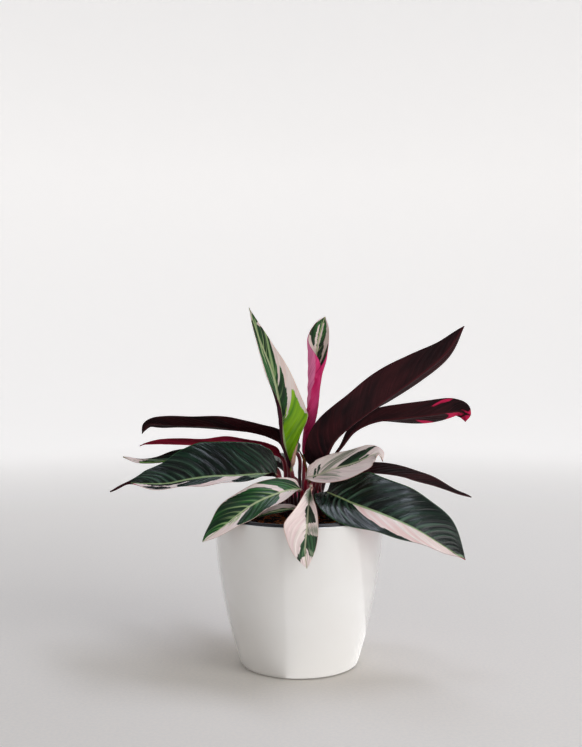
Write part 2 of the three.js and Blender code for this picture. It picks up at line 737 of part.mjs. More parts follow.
const plant = new THREE.Group();
LEAVES.forEach((leaf) => plant.add(piece(leaf.name, leafGeometry(leaf), leaf.colour, LEAF_ROUGHNESS)));
BRACTS.forEach(({ name, path }) => {
  plant.add(piece(name, tubeGeometry(path, BRACT_RADIUS, BRACT_SIDES), BROWN_STALK, MIX_ROUGHNESS));
});

const potted = new THREE.Group();
potted.add(piece('planter_shell', shellGeometry(), WHITE_GLOSS, SHELL_ROUGHNESS));
potted.add(piece('liner_pot', linerGeometry(), NEAR_BLACK, LINER_ROUGHNESS));
potted.add(piece('potting_mix', mixGeometry(), COIR_BROWN, MIX_ROUGHNESS));
potted.add(plant);

export default potted;
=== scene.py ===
"""A potted tricolour stromanthe: the plant's leaves, its planter, liner and potting mix.

It is laid out as an add-on and run as a script. Lengths in the tables are millimetres in the
same frame as the CAD part: +Z up, -Y the front, the origin under the middle of the planter.
"""

import math

import bpy
import numpy as np
from bpy.props import FloatProperty, FloatVectorProperty, IntProperty, PointerProperty
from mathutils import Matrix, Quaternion, Vector


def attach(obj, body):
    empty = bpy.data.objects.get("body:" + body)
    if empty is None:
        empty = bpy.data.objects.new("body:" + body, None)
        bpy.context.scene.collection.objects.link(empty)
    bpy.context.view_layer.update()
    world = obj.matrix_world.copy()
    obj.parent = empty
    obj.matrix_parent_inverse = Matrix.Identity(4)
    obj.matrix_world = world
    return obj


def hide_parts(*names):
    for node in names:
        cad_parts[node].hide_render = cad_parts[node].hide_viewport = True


bl_info = {
    "name": "Potted tricolour stromanthe",
    "version": (1, 0, 0),
    "blender": (4, 5, 0),
    "location": "3D View > Sidebar > Stromanthe",
    "description": "Builds the plant, its planter and a plain studio round the packed CAD part",
    "category": "Add Mesh",
}

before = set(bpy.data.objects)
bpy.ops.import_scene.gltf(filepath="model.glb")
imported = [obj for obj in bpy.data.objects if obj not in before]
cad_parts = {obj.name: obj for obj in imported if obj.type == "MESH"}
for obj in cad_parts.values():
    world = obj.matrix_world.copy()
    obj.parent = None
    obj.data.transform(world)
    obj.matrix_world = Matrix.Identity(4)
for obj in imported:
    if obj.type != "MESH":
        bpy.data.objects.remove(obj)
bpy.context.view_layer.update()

MM = 0.001

# Planter, liner and mix, as in the CAD part

PLANTER_HEIGHT = 192
RIM_RADIUS = 108.5
BASE_RADIUS = 75
FLARE_POWER = 1.8
WALL = 3
LIP_RADIUS = 1.5
FLOOR = 5
FOOT_HEIGHT = 1.6
FOOT_INSET = 2
LINER_TOP = 195
LINER_WALL = 2.4
LINER_GAP = 0.8
LINER_BEAD = 4.2
LINER_BEAD_HEIGHT = 5
LINER_FLOOR_TOP = 32
MIX_TOP = 188.5
MIX_GAP = 0.4
TOUCH_GAP = 0.3
MIX_LUMPS = 1.6

# Rounded edges, crumbs and loose pieces that the CAD part leaves out, how finely the round bodies
# are divided, and the seeds of the random draws. Crumbs and chips have their sizes and how flat
# they lie, and chips and fibres begin some way from the middle.

FOOT_EDGE = 0.3
FOOT_BEVEL = 1
WALL_EDGE = 0.4
BEAD_EDGE = 0.8
BEAD_STEP = 0.6
PLANTER_SEGMENTS = 180
OUTER_STEPS = 48
LIP_STEPS = 12
INNER_STEPS = 24
LINER_SEGMENTS = 150
LINER_OUTER_STEPS = 24
LINER_INNER_STEPS = 16
MIX_SEGMENTS = 150
MIX_WALL_STEPS = 6
MIX_RINGS = 60
MIX_EDGE_RINGS = 3
MIX_SEED = 7
LOOSE_SEED = 11
CRUMB_RELIEF = 0.8
CRUMBS = {"sizes": (1.0, 2.6), "flat": 0.8}
CHIPS = {"sizes": (2.0, 5.0), "flat": 0.35}
CHIP_COUNT = 170
CHIPS_FROM = 20
FIBRE_LENGTHS = (8, 26)
FIBRE_RADII = (0.22, 0.5)
FIBRE_BEND = 2.2
FIBRE_ARCHES = (0.5, 4.0)
FIBRE_SIDES = 5
FIBRE_STEPS = 9
FIBRES_FROM = 25

# Leaves, as in the CAD part

STALK_FOOT_RADIUS = 3.2
STALK_NECK_RADIUS = 1.9
PULVINUS_RADIUS = 2.5
PULVINUS_LENGTH = 0.22
BLADE_THICKNESS = 0.8
RIB_WIDTH = 3
TIP_HALF_WIDTH = 0.6
JOIN = 0.07

# Each leaf: stalk runs from under the soil to just below the blade, rib is the midrib from the
# blade's base to its tip, and face is the way that the upper side looks. The other pairs are for
# the left and right halves, looking to the tip with the upper side up: half is the widest
# half-width, fold is how far each half bends up at the rib and curl how far it bends on to its
# margin, both in degrees and listed from base to tip. widest is where along the rib the blade is
# broadest and taper is the power of its outline beyond that. wave is the margin's ripple: height,
# count and phase. Some leaves also have base, the power of the outline before the widest place,
# and pinch, the share of the width that is left, listed from base to tip.

LEAVES = [
    {
        "name": "leaf_tall_left",
        "stalk": [[-3, 4, 168], [-4, 4, 190], [-5, 3, 215]],
        "rib": [
          [-9, 3, 243], [-16, 5, 268], [-21, 8, 297], [-25, 12, 330], [-34, 17, 370],
          [-47, 20, 404], [-57, 23, 431], [-65, 27, 456],
        ],
        "face": [[0.25, -1, 0.15], [0.1, -1, 0.1], [0, -1, 0], [0, -1, -0.1]],
        "half": [13, 36],
        "fold": [[70, 30, 15, 10, 20, 20], [30, 10, 10, 12, 10, 10]],
        "curl": [[40, 95, 150, 30, 0, 0], [150, 110, 0, 0, 10, 0]],
        "widest": [0.42, 0.36],
        "taper": [1.1, 0.85],
        "wave": [1, 3, 0],
    },
    {
        "name": "leaf_rolled_pink",
        "stalk": [[7, 12, 168], [7, 13, 190], [6, 14, 220]],
        "rib": [
          [7, 20, 255], [10, 22, 287], [16, 25, 321], [19, 27, 354], [22, 28, 386],
          [25, 27, 412], [30, 25, 432], [34, 23, 444],
        ],
        "face": [[0, -1, 0.1], [0.1, -1, 0], [0, -1, 0], [0, -1, 0]],
        "half": [37, 29],
        "fold": [[10, 5, 0, 0, 5], [10, 5, 0, 0, 5]],
        "curl": [[290, 290, 285, 270, 205, 110, 75, 40], [250, 250, 250, 228, 130, 85, 60, 35]],
        "widest": [0.53, 0.45],
        "taper": [1.3, 1.6],
        "wave": [0, 1, 0],
    },
    {
        "name": "leaf_maroon_right",
        "stalk": [[15, -3, 168], [17, -4, 190], [20, -6, 215]],
        "rib": [
          [27, -8, 241], [33, -10, 260], [44, -13, 284], [63, -16, 303],
          [89, -19, 323], [118, -22, 345], [152, -25, 370], [183, -27, 397],
          [206, -28, 431],
        ],
        "face": [[-0.5, 0.8, 0.2], [-0.4, 0.85, 0.3], [-0.3, 0.9, 0.3], [-0.3, 0.9, 0.3]],
        "half": [36, 41],
        "fold": [[50, 55, 58, 52, 38, 30], [55, 25, 5, 5, 5, 10]],
        "curl": [[0, 0, 0, 0, 0, 0], [-10, -20, -10, 0, 0, 0]],
        "widest": [0.42, 0.45],
        "taper": [2.2, 2.6],
        "wave": [1, 3, 0],
    },
    {
        "name": "leaf_hooked_right",
        "stalk": [[22, 14, 168], [25, 16, 190], [31, 21, 220]],
        "rib": [
          [41, 28, 255], [57, 32, 275], [74, 36, 294], [101, 40, 306], [135, 44, 310],
          [171, 47, 314], [200, 49, 318], [213, 49, 319], [220, 49, 314], [222, 49, 305],
        ],
        "face": [[-0.4, 0.6, 0.6], [-0.2, 0.6, 0.7], [0, 0.6, 0.8], [0, 0.6, 0.8], [0.3, 0.6, 0.7]],
        "half": [22, 24],
        "fold": [[70, 50, 8, 8, 15], [60, 40, 25, 20, 20]],
        "curl": [[0, 0, 0, 0, 0], [0, 0, 0, 0, 0]],
        "widest": [0.55, 0.55],
        "taper": [2, 2.1],
        "wave": [1, 3, 0],
        "base": 2,
    },
    {
        "name": "leaf_cream_right",
        "stalk": [[9, -9, 168], [9, -11, 190], [9, -14, 215]],
        "rib": [
          [9, -20, 237], [24, -28, 244], [43, -36, 253], [62, -43, 259], [80, -50, 267],
          [91, -54, 273], [99, -57, 274], [102, -60, 265],
        ],
        "face": [[-0.3, -0.5, 0.8], [-0.2, -0.6, 0.8], [0.1, -0.6, 0.8], [0.6, -0.5, 0.6]],
        "half": [24, 26],
        "fold": [[50, 15, 8, 5, 5], [40, 8, 2, 10, 20]],
        "curl": [[0, 0, 0, 0, 0], [0, 0, 0, 0, 0]],
        "widest": [0.34, 0.4],
        "taper": [1.8, 1.6],
        "wave": [1, 2, 0],
    },
    {
        "name": "leaf_dark_right",
        "stalk": [[21, -18, 168], [24, -21, 188], [28, -27, 208]],
        "rib": [
          [33, -36, 222], [48, -51, 220], [66, -64, 214], [103, -76, 202], [139, -84, 187],
          [171, -88, 168], [198, -92, 151],
        ],
        "face": [[0.1, -0.5, 0.85], [0.2, -0.62, 0.75], [0.3, -0.68, 0.68], [0.4, -0.6, 0.6]],
        "half": [51, 43],
        "fold": [[60, 25, 15, 10, 10], [38, 17, 7, 5, 8]],
        "curl": [[0, 0, -10, -10, -5], [-20, -20, -10, -10, 0]],
        "widest": [0.5, 0.28],
        "taper": [3.4, 1.15],
        "wave": [1.5, 4, 0],
    },
    {
        "name": "leaf_back_right",
        "stalk": [[27, 2, 168], [28, 3, 190], [28, 5, 212]],
        "rib": [
          [29, 8, 233], [61, 14, 243], [96, 18, 242], [127, 22, 238], [153, 25, 231],
          [179, 28, 223], [205, 30, 214], [227, 31, 207],
        ],
        "face": [[-0.2, 0.35, 0.9], [0, 0.35, 0.93], [0.2, 0.35, 0.9], [0.3, 0.3, 0.9]],
        "half": [19, 25],
        "fold": [[60, 20, 15, 10, 10], [50, 20, 15, 10, 10]],
        "curl": [[0, 0, 0, 0, 0], [0, 0, 0, 0, 0]],
        "widest": [0.45, 0.45],
        "taper": [1.8, 1.8],
        "wave": [1, 3, 0],
    },
    {
        "name": "leaf_hanging_front",
        "stalk": [[12, -22, 168], [12, -24, 188], [13, -31, 213], [14, -46, 231]],
        "rib": [
          [14, -62, 235], [13, -82, 229], [10, -100, 214], [8, -113, 192],
          [6, -121, 168], [8, -125, 148],
        ],
        "face": [[0, 0, 1], [0, -0.4, 1], [0, -0.8, 0.6], [0, -1, 0.3], [0, -1, 0.1]],
        "half": [15, 29],
        "fold": [[80, 75, 35, 10, 10], [80, 80, 78, 72, 52, 12, 5, 5, 5]],
        "curl": [[0, 0, 0, 0, 0], [0, 0, 0, 0, 0]],
        "widest": [0.55, 0.58],
        "taper": [2.6, 1.25],
        "base": 2.4,
        "wave": [1, 2, 0],
    },
    {
        "name": "leaf_front_left",
        "stalk": [[2, -20, 168], [2, -22, 188], [3, -25, 210]],
        "rib": [
          [2, -31, 225], [-16, -40, 226], [-39, -52, 220], [-58, -62, 212],
          [-76, -73, 201], [-94, -84, 188], [-116, -93, 173],
        ],
        "face": [[-0.1, -0.5, 0.85], [-0.2, -0.6, 0.8], [-0.3, -0.6, 0.7], [-0.4, -0.6, 0.7]],
        "half": [20, 28],
        "fold": [[35, 4, 0, 0, 5], [50, 20, 10, 8, 5]],
        "curl": [[0, 0, 0, 0, 0], [0, 0, 0, 0, 0]],
        "widest": [0.55, 0.6],
        "taper": [2, 2.4],
        "wave": [1, 3, 0],
    },
    {
        "name": "leaf_dark_left",
        "stalk": [[-11, -8, 168], [-13, -9, 190], [-17, -10, 215]],
        "rib": [
          [-27, -14, 240], [-49, -20, 244], [-79, -26, 243], [-108, -31, 243],
          [-136, -35, 240], [-165, -38, 235], [-194, -40, 235], [-215, -41, 235],
          [-235, -42, 225],
        ],
        "face": [[0, -0.55, 0.8], [0, -0.6, 0.77], [-0.1, -0.6, 0.77], [-0.1, -0.5, 0.8]],
        "half": [24, 49],
        "fold": [[50, 24, 22, 24, 28], [60, 25, 20, 20, 30]],
        "curl": [[0, 0, 0, 0, 0], [0, 0, 0, 0, 0]],
        "widest": [0.42, 0.42],
        "taper": [1.3, 1.1],
        "wave": [1.5, 4, 0],
        "base": 0.38,
        "pinch": [[1, 1, 1, 1, 1, 1, 1, 0.3, 0.3], [1, 1, 1, 1, 1, 0.97, 0.72, 0.25, 0.3]],
    },
    {
        "name": "leaf_maroon_left",
        "stalk": [[-7, 12, 168], [-8, 13, 190], [-11, 15, 225]],
        "rib": [
          [-16, 18, 262], [-26, 20, 283], [-51, 24, 292], [-81, 27, 297],
          [-112, 28, 301], [-143, 30, 302], [-174, 30, 303], [-196, 29, 303],
          [-206, 28, 291],
        ],
        "face": [[0.3, 0.3, 0.8], [0, 0.45, 0.9], [-0.1, 0.45, 0.9], [-0.3, 0.4, 0.8]],
        "half": [22, 25],
        "fold": [[50, 20, 15, 10, 10], [60, 20, 15, 10, 10]],
        "curl": [[0, 0, 0, 0, 0], [0, 0, 0, 0, 0]],
        "widest": [0.45, 0.45],
        "taper": [3.4, 2.8],
        "wave": [1, 3, 0],
    },
    {
        "name": "leaf_crimson_left",
        "stalk": [[-15, 18, 168], [-16, 19, 190], [-17, 20, 225]],
        "rib": [
          [-21, 24, 258], [-41, 29, 268], [-66, 35, 272], [-92, 40, 274], [-123, 42, 275],
          [-154, 42, 276], [-184, 40, 277], [-202, 37, 277], [-210, 36, 274],
        ],
        "face": [[0, 0.1, 1], [0, 0.15, 1], [0, 0.2, 1], [0, 0.2, 1]],
        "half": [20, 16],
        "fold": [[60, 45, 38, 38, 30, 18, 12], [40, 10, 5, 5, 5]],
        "curl": [[0, 0, 0, 0, 0], [0, 0, 0, 0, 0]],
        "widest": [0.5, 0.5],
        "taper": [1.9, 1.9],
        "wave": [1, 3, 0],
        "pinch": [[1, 1, 1, 0.95, 0.6, 0.72, 0.65, 0.6, 0.6], [1, 1]],
    },
    {
        "name": "leaf_striped_left",
        "stalk": [[-20, 4, 168], [-21, 4, 190], [-23, 4, 218]],
        "rib": [
          [-27, 4, 245], [-42, 5, 256], [-65, 8, 262], [-96, 12, 264], [-126, 13, 265],
          [-156, 12, 262], [-181, 10, 257], [-206, 8, 257], [-227, 6, 263],
        ],
        "face": [[0, -0.1, 1], [0, -0.25, 1], [0, -0.25, 1], [0, -0.2, 1]],
        "half": [20, 18],
        "fold": [[50, 20, 15, 10, 10], [60, 20, 15, 10, 10]],
        "curl": [[0, 0, 0, 0, 0], [0, 0, 0, 0, 0]],
        "widest": [0.5, 0.55],
        "taper": [1.9, 1.9],
        "wave": [1, 3, 0],
    },
    {
        "name": "leaf_low_front",
        "stalk": [[-5, -14, 168], [-5, -16, 186], [-5, -18, 192]],
        "rib": [[-2, -25, 199], [-14, -31, 201], [-30, -38, 200], [-45, -43, 197], [-55, -46, 194]],
        "face": [[0, -0.5, 0.9], [-0.2, -0.5, 0.9]],
        "half": [9, 9],
        "fold": [[40, 20, 10], [40, 20, 10]],
        "curl": [[0, 0, 0], [0, 0, 0]],
        "widest": [0.45, 0.45],
        "taper": [1.8, 1.8],
        "wave": [0.5, 2, 0],
    },
    {
        "name": "leaf_back_left",
        "stalk": [[-12, 26, 168], [-12, 27, 190], [-12, 28, 212]],
        "rib": [[-14, 34, 236], [-31, 62, 247], [-52, 100, 246], [-72, 140, 236], [-88, 178, 216]],
        "face": [[0, 0.1, 1], [-0.2, 0.1, 1], [-0.3, 0.4, 0.9]],
        "half": [24, 24],
        "fold": [[55, 25, 20, 15, 10], [55, 25, 20, 15, 10]],
        "curl": [[0, 0, 0, 0, 0], [0, 0, 0, 0, 0]],
        "widest": [0.42, 0.42],
        "taper": [1.8, 1.8],
        "wave": [1.2, 3, 0],
    },
    {
        "name": "leaf_back",
        "stalk": [[4, 32, 168], [4, 34, 188], [5, 38, 205]],
        "rib": [[6, 46, 217], [8, 68, 222], [9, 97, 216], [9, 130, 198], [9, 155, 172], [8, 168, 145]],
        "face": [[0, 0.1, 1], [0, 0.3, 1], [0, 0.8, 0.6]],
        "half": [24, 26],
        "fold": [[55, 20, 10, 10, 10], [55, 20, 10, 10, 10]],
        "curl": [[0, 0, 0, 0, 0], [0, 0, 0, 0, 0]],
        "widest": [0.42, 0.42],
        "taper": [1.8, 1.8],
        "wave": [1.2, 3, 1],
    },
    {
        "name": "leaf_back_right_low",
        "stalk": [[19, 27, 168], [20, 28, 190], [20, 30, 208]],
        "rib": [[23, 38, 228], [42, 66, 240], [62, 100, 242], [80, 136, 232], [93, 165, 213]],
        "face": [[0, 0.1, 1], [0.2, 0.1, 1], [0.3, 0.4, 0.9]],
        "half": [22, 24],
        "fold": [[55, 25, 20, 15, 10], [55, 25, 20, 15, 10]],
        "curl": [[0, 0, 0, 0, 0], [0, 0, 0, 0, 0]],
        "widest": [0.42, 0.42],
        "taper": [1.8, 1.8],
        "wave": [1.2, 3, 2],
    },
    {
        "name": "leaf_back_right_tall",
        "stalk": [[13, 20, 168], [14, 21, 195], [16, 26, 232]],
        "rib": [
          [22, 38, 268], [42, 56, 300], [67, 71, 325], [95, 84, 348],
          [124, 94, 362], [149, 101, 378],
        ],
        "face": [[-0.6, 0.2, 0.75], [-0.5, 0.25, 0.8], [-0.4, 0.3, 0.8]],
        "half": [23, 23],
        "fold": [[55, 20, 10, 10, 10], [55, 20, 10, 10, 10]],
        "curl": [[0, 0, 0, 0, 0], [0, 0, 0, 0, 0]],
        "widest": [0.42, 0.42],
        "taper": [1.8, 1.8],
        "wave": [1, 3, 2],
    },
    {
        "name": "leaf_back_left_tall",
        "stalk": [[-1, 21, 168], [0, 22, 195], [1, 28, 235]],
        "rib": [
          [-1, 38, 262], [-25, 58, 278], [-60, 78, 290], [-95, 95, 297],
          [-130, 110, 300], [-160, 121, 296],
        ],
        "face": [[0.3, 0.05, 1], [0, 0.05, 1], [-0.1, 0.05, 1]],
        "half": [22, 23],
        "fold": [[55, 20, 10, 10, 5], [55, 20, 10, 10, 5]],
        "curl": [[0, 0, 0, 0, 0], [0, 0, 0, 0, 0]],
        "widest": [0.42, 0.42],
        "taper": [1.8, 1.8],
        "wave": [0.8, 3, 2],
    },
]

# Thin brown stalks of spent bracts that stand between the leaves. The taper is listed from foot
# to tip, as shares of the radius.

BRACTS = {
    "bract_left": [[4, -2, 168], [6, -3, 205], [10, -4, 240], [7, -5, 258], [0, -5, 273]],
    "bract_right": [[15, 4, 168], [15, 4, 205], [14, 3, 240], [15, 2, 260], [18, 1, 276]],
}
BRACT_RADIUS = 1.6
BRACT_TAPER = (1.1, 1.0, 0.95, 0.8, 0.9, 0.45)
BRACT_STEPS = 60
BRACT_SIDES = 16
BRACT_ASIDE = (0.3, 0.9, 0.1)

# The leaves' markings, as polygons of (place along the rib, place across): along runs from 0 at
# the base to 1 at the tip, and across from -1 at the left margin to 1 at the right one. cream
# holds no green, green lies over cream, milky is grey-green and bright the green of a new leaf.

WHOLE = [(-0.2, -1.5), (1.2, -1.5), (1.2, 1.5), (-0.2, 1.5)]
MARKS = {
    "leaf_tall_left": {
        "cream": [
            [(0.355, 0.15), (0.42, 0.29), (0.5, 0.47), (0.55, 0.56), (0.6, 0.6), (0.57, 0.45),
             (0.53, 0.25), (0.5, 0.08), (0.56, 0.27), (0.63, 0.5), (0.68, 0.67), (0.73, 0.87),
             (0.77, 1.1), (0.36, 1.1), (0.375, 0.9), (0.4, 0.82), (0.48, 0.8), (0.487, 0.7),
             (0.46, 0.6), (0.4, 0.34)],
            [(0.84, 1.1), (0.852, 0.75), (0.868, 0.45), (0.882, 0.6), (0.88, 1.1)],
            [(0.9, -1.1), (0.905, -0.6), (0.925, -0.1), (0.95, 0.2), (0.96, 1.1), (1.1, 1.1),
             (1.1, -1.1)],
            [(0.5, -0.86), (0.9, -0.86), (0.9, -1.1), (0.5, -1.1)],
            [(-0.1, 0.02), (0.06, 0.05), (0.1, 0.2), (0.15, 0.4), (0.18, 0.7), (0.2, 1.1),
             (-0.1, 1.1)],
        ],
        "milky": [
            [(0.52, 0.02), (0.6, 0.22), (0.68, 0.5), (0.75, 0.85), (0.8, 1.1), (0.84, 1.1),
             (0.77, 0.7), (0.7, 0.35), (0.62, 0.05)],
            [(0.58, -0.4), (0.66, -0.3), (0.76, -0.05), (0.84, 0.25), (0.9, 0.7), (0.93, 0.6),
             (0.88, 0.1), (0.8, -0.25), (0.7, -0.5)],
        ],
        "bright": [
            [(-0.1, 0.0), (0.3, 0.02), (0.4, 0.2), (0.48, 0.6), (0.487, 0.78), (0.4, 0.9),
             (0.37, 1.1), (0.2, 1.1), (0.1, 0.2), (-0.1, 0.0)],
            [(-0.1, 0.2), (0.22, 0.2), (0.26, -0.3), (0.34, -0.8), (0.42, -1.1), (-0.1, -1.1)],
        ],
    },
    "leaf_rolled_pink": {
        "cream": [
            [(0.53, 0.16), (0.6, 0.26), (0.68, 0.4), (0.72, 0.4), (0.8, 0.55), (0.9, 0.62),
             (0.98, 0.5), (1.1, 0.5), (1.1, 1.1), (0.72, 1.1), (0.7, 0.75), (0.64, 0.5),
             (0.57, 0.3)],
            [(0.6, 0.0), (0.7, 0.12), (0.8, 0.19), (0.9, 0.22), (0.9, 0.08), (0.78, 0.04),
             (0.7, 0.0)],
            [(0.6, -0.02), (0.7, -0.04), (0.8, -0.12), (0.88, -0.25), (0.86, -0.32),
             (0.75, -0.2), (0.66, -0.12)],
            [(0.86, -1.1), (0.9, -0.72), (1.1, -0.5), (1.1, -1.1)],
            [(0.28, -0.25), (0.3, -0.38), (0.4, -0.55), (0.5, -0.72), (0.6, -0.9), (0.66, -1.1),
             (0.78, -1.1), (0.74, -0.5), (0.62, 0.0), (0.5, 0.1), (0.35, 0.0)],
        ],
    },
    "leaf_hooked_right": {
        "cream": [
            [(0.64, -0.02), (0.67, -0.3), (0.67, -0.6), (0.64, -1.1), (0.78, -1.1),
             (0.86, -0.6), (0.88, -0.1), (0.86, 0.08), (0.8, -0.08), (0.72, -0.12)],
            [(0.51, -0.4), (0.56, -0.62), (0.6, -1.1), (0.56, -1.1), (0.53, -0.75)],
            [(0.58, 0.56), (0.62, 0.74), (0.67, 0.82), (0.7, 0.95), (0.62, 0.9), (0.59, 0.7)],
            [(0.8, 0.22), (0.86, 0.34), (0.9, 0.62), (0.92, 1.1), (0.87, 1.1), (0.88, 0.6),
             (0.84, 0.36)],
            [(0.9, 0.1), (0.93, 1.1), (1.1, 1.1), (1.1, -1.1), (0.93, -1.1)],
        ],
    },
    "leaf_cream_right": {
        "cream": [WHOLE],
        "green": [
            [(0.088, 0.0), (0.095, 0.25), (0.105, 0.5), (0.125, 0.45), (0.13, 0.2), (0.12, 0.0)],
            [(0.09, 0.0), (0.1, -0.25), (0.115, -0.52), (0.13, -0.5), (0.122, -0.2), (0.11, 0)],
            [(0.122, 0.0), (0.14, -0.28), (0.165, -0.6), (0.18, -0.62), (0.168, -0.35),
             (0.145, -0.08)],
            [(0.3, 0.08), (0.3, 0.0), (0.34, -0.18), (0.39, -0.37), (0.45, -0.55), (0.52, -0.66),
             (0.62, -0.7), (0.7, -0.8), (0.79, -1.1), (0.76, -0.86), (0.71, -0.6), (0.66, -0.42),
             (0.59, -0.28), (0.52, -0.14), (0.62, -0.22), (0.66, -0.16), (0.57, 0.02),
             (0.5, 0.1), (0.4, 0.07)],
        ],
        "milky": [
            [(0.13, 0.0), (0.2, 0.05), (0.27, -0.12), (0.33, -0.35), (0.41, -0.6), (0.5, -0.8),
             (0.52, -1.1), (0.42, -1.1), (0.3, -0.75), (0.22, -0.4)],
            [(0.15, 0.1), (0.22, 0.1), (0.32, 0.45), (0.34, 0.8), (0.24, 0.6), (0.18, 0.35)],
            [(0.7, 0.05), (0.74, 0.05), (0.82, 0.6), (0.83, 1.1), (0.78, 1.1), (0.76, 0.5)],
        ],
    },
    "leaf_dark_right": {
        "cream": [
            [(0.305, 0.02), (0.36, 0.16), (0.41, 0.37), (0.47, 0.53), (0.51, 0.68), (0.57, 0.76),
             (0.62, 0.81), (0.68, 0.95), (0.72, 1.1), (1.1, 1.1), (1.1, 0.2), (0.97, 0.0),
             (0.8, 0.02), (0.5, 0.03)],
        ],
        "green": [[(0.84, -0.05), (0.87, 0.1), (0.93, 0.28), (0.96, 0.15), (0.96, -0.05)]],
        "milky": [[(0.93, 0.1), (0.95, 0.5), (0.96, 1.1), (1.1, 1.1), (1.1, -1.1), (0.97, -0.4)]],
    },
    "leaf_hanging_front": {
        "cream": [WHOLE],
        "green": [
            [(0.1, 0.6), (0.15, 0.7), (0.3, 0.5), (0.33, 0.2), (0.29, 0.0), (0.3, -0.3),
             (0.31, -0.6), (0.25, -0.9), (0.08, -0.6), (0.06, 0.0)],
            [(0.36, 0.0), (0.38, 0.16), (0.42, 0.32), (0.48, 0.2), (0.545, 0.03), (0.55, -0.4),
             (0.54, -0.8), (0.48, -0.7), (0.42, -0.45), (0.37, -0.15)],
            [(0.645, 0.02), (0.7, 0.12), (0.74, 0.3), (0.765, 0.36), (0.78, 0.28), (0.82, 0.5),
             (0.87, 0.85), (0.9, 1.1), (0.93, 1.1), (0.9, 0.72), (0.87, 0.3), (0.845, 0.0),
             (0.82, -0.15), (0.78, -0.12), (0.8, -0.3), (0.85, -0.45), (0.87, -0.8),
             (0.87, -1.1), (0.67, -1.1), (0.655, -0.5)],
        ],
        "milky": [
            [(0.57, 0.03), (0.65, 0.02), (0.67, -1.1), (0.57, -1.1)],
            [(0.76, -0.2), (0.82, -0.4), (0.86, -0.6), (0.87, -1.1), (0.83, -1.1), (0.8, -0.7)],
            [(0.08, 1.0), (0.34, 1.0), (0.36, 0.0), (0.36, -1.0), (0.06, -1.0)],
        ],
    },
    "leaf_front_left": {
        "cream": [
            [(0.17, -0.1), (0.19, 0.2), (0.22, 0.46), (0.27, 0.66), (0.31, 0.82), (0.34, 0.93),
             (0.36, 1.1), (0.72, 1.1), (0.62, 0.96), (0.52, 0.92), (0.44, 0.86), (0.37, 0.75),
             (0.31, 0.58), (0.27, 0.38), (0.245, 0.2), (0.22, 0.0), (0.24, -0.2), (0.27, -0.6),
             (0.32, -0.84), (0.4, -0.94), (0.5, -0.98), (0.6, -0.98), (0.72, -0.95),
             (0.74, -0.75), (0.69, -0.5), (0.63, -0.3), (0.55, -0.16),
             (0.5, -0.08), (0.7, -0.1), (0.82, -0.05), (0.88, 0.05), (0.93, 0.22), (0.97, 0.3),
             (1.1, 0.1), (1.1, -1.1), (0.1, -1.1), (0.13, -0.5)],
            [(-0.1, 0.3), (0.04, 0.5), (0.1, 0.8), (0.18, 0.95), (0.2, 1.1), (-0.1, 1.1)],
            [(-0.1, -0.02), (0.17, -0.02), (0.13, -0.5), (0.1, -1.1), (-0.1, -1.1)],
        ],
        "milky": [
            [(0.62, -0.12), (0.8, -0.12), (0.78, -0.34), (0.68, -0.36)],
            [(0.02, -0.05), (0.14, -0.05), (0.1, -0.4), (0.04, -0.4)],
        ],
    },
    "leaf_dark_left": {
        "cream": [
            [(0.21, -0.06), (0.31, -0.08), (0.33, -0.3), (0.36, -0.5), (0.42, -0.7),
             (0.5, -0.88), (0.54, -1.1), (0.28, -1.1), (0.28, -0.7), (0.24, -0.4)],
            [(0.47, -0.08), (0.5, -0.2), (0.54, -0.35), (0.62, -0.42), (0.7, -0.4),
             (0.76, -0.1), (0.82, -0.05), (0.82, -1.1), (0.57, -1.1), (0.57, -0.6),
             (0.52, -0.4)],
        ],
        "green": [[(0.6, -0.9), (0.64, -0.5), (0.72, -0.5), (0.76, -0.9)]],
        "milky": [[(0.08, 0.0), (0.2, 0.0), (0.2, -0.3), (0.17, -0.8), (0.16, -1.1),
                   (0.08, -1.1)]],
    },
    "leaf_striped_left": {
        "cream": [
            [(0.87, -1.1), (0.88, -0.2), (0.88, 0.1), (0.85, 0.3), (0.82, 0.55), (0.9, 0.8),
             (0.92, 1.1), (1.1, 1.1), (1.1, -1.1)],
        ],
        "milky": [[(0.68, -0.05), (0.74, 0.3), (0.82, 0.6), (0.86, 0.5), (0.8, 0.25),
                   (0.72, 0.0)]],
        "bright": [[(0.7, -1.1), (0.72, 0.0), (0.85, 0.1), (0.9, -0.1), (0.95, -0.8),
                    (0.95, -1.1)]],
    },
    "leaf_crimson_left": {
        "cream": [[(0.2, -0.3), (0.24, 0.0), (0.22, 0.3), (0.32, 0.6), (0.42, 0.4),
                   (0.44, 0.0), (0.42, -0.6), (0.3, -0.7)]],
    },
    "leaf_low_front": {
        "cream": [
            [(-0.1, 0.2), (0.3, 0.35), (0.7, 0.2), (1.1, 0.0), (1.1, 1.1), (-0.1, 1.1)],
            [(-0.1, -0.2), (0.1, -0.4), (0.25, -1.1), (-0.1, -1.1)],
        ],
    },
    "leaf_back_left": {
        "cream": [[(0.32, 0.02), (0.48, 0.5), (0.6, 1.1), (0.86, 1.1), (0.8, 0.5),
                   (0.68, 0.02)]],
    },
    "leaf_back": {
        "cream": [
            [(0.22, -0.03), (0.35, -0.5), (0.45, -1.1), (0.95, -1.1), (0.88, -0.4),
             (0.8, -0.03)],
            [(0.55, 0.03), (0.62, 0.5), (0.72, 1.1), (0.8, 1.1), (0.72, 0.5), (0.62, 0.03)],
        ],
        "milky": [[(0.1, 0.02), (0.2, 0.5), (0.3, 1.1), (0.45, 1.1), (0.32, 0.4),
                   (0.2, 0.02)]],
    },
    "leaf_back_right_low": {
        "cream": [[(0.5, -0.02), (0.6, -0.5), (0.7, -1.1), (0.95, -1.1), (0.9, -0.5),
                   (0.75, -0.02)]],
    },
    "leaf_back_left_tall": {
        "cream": [
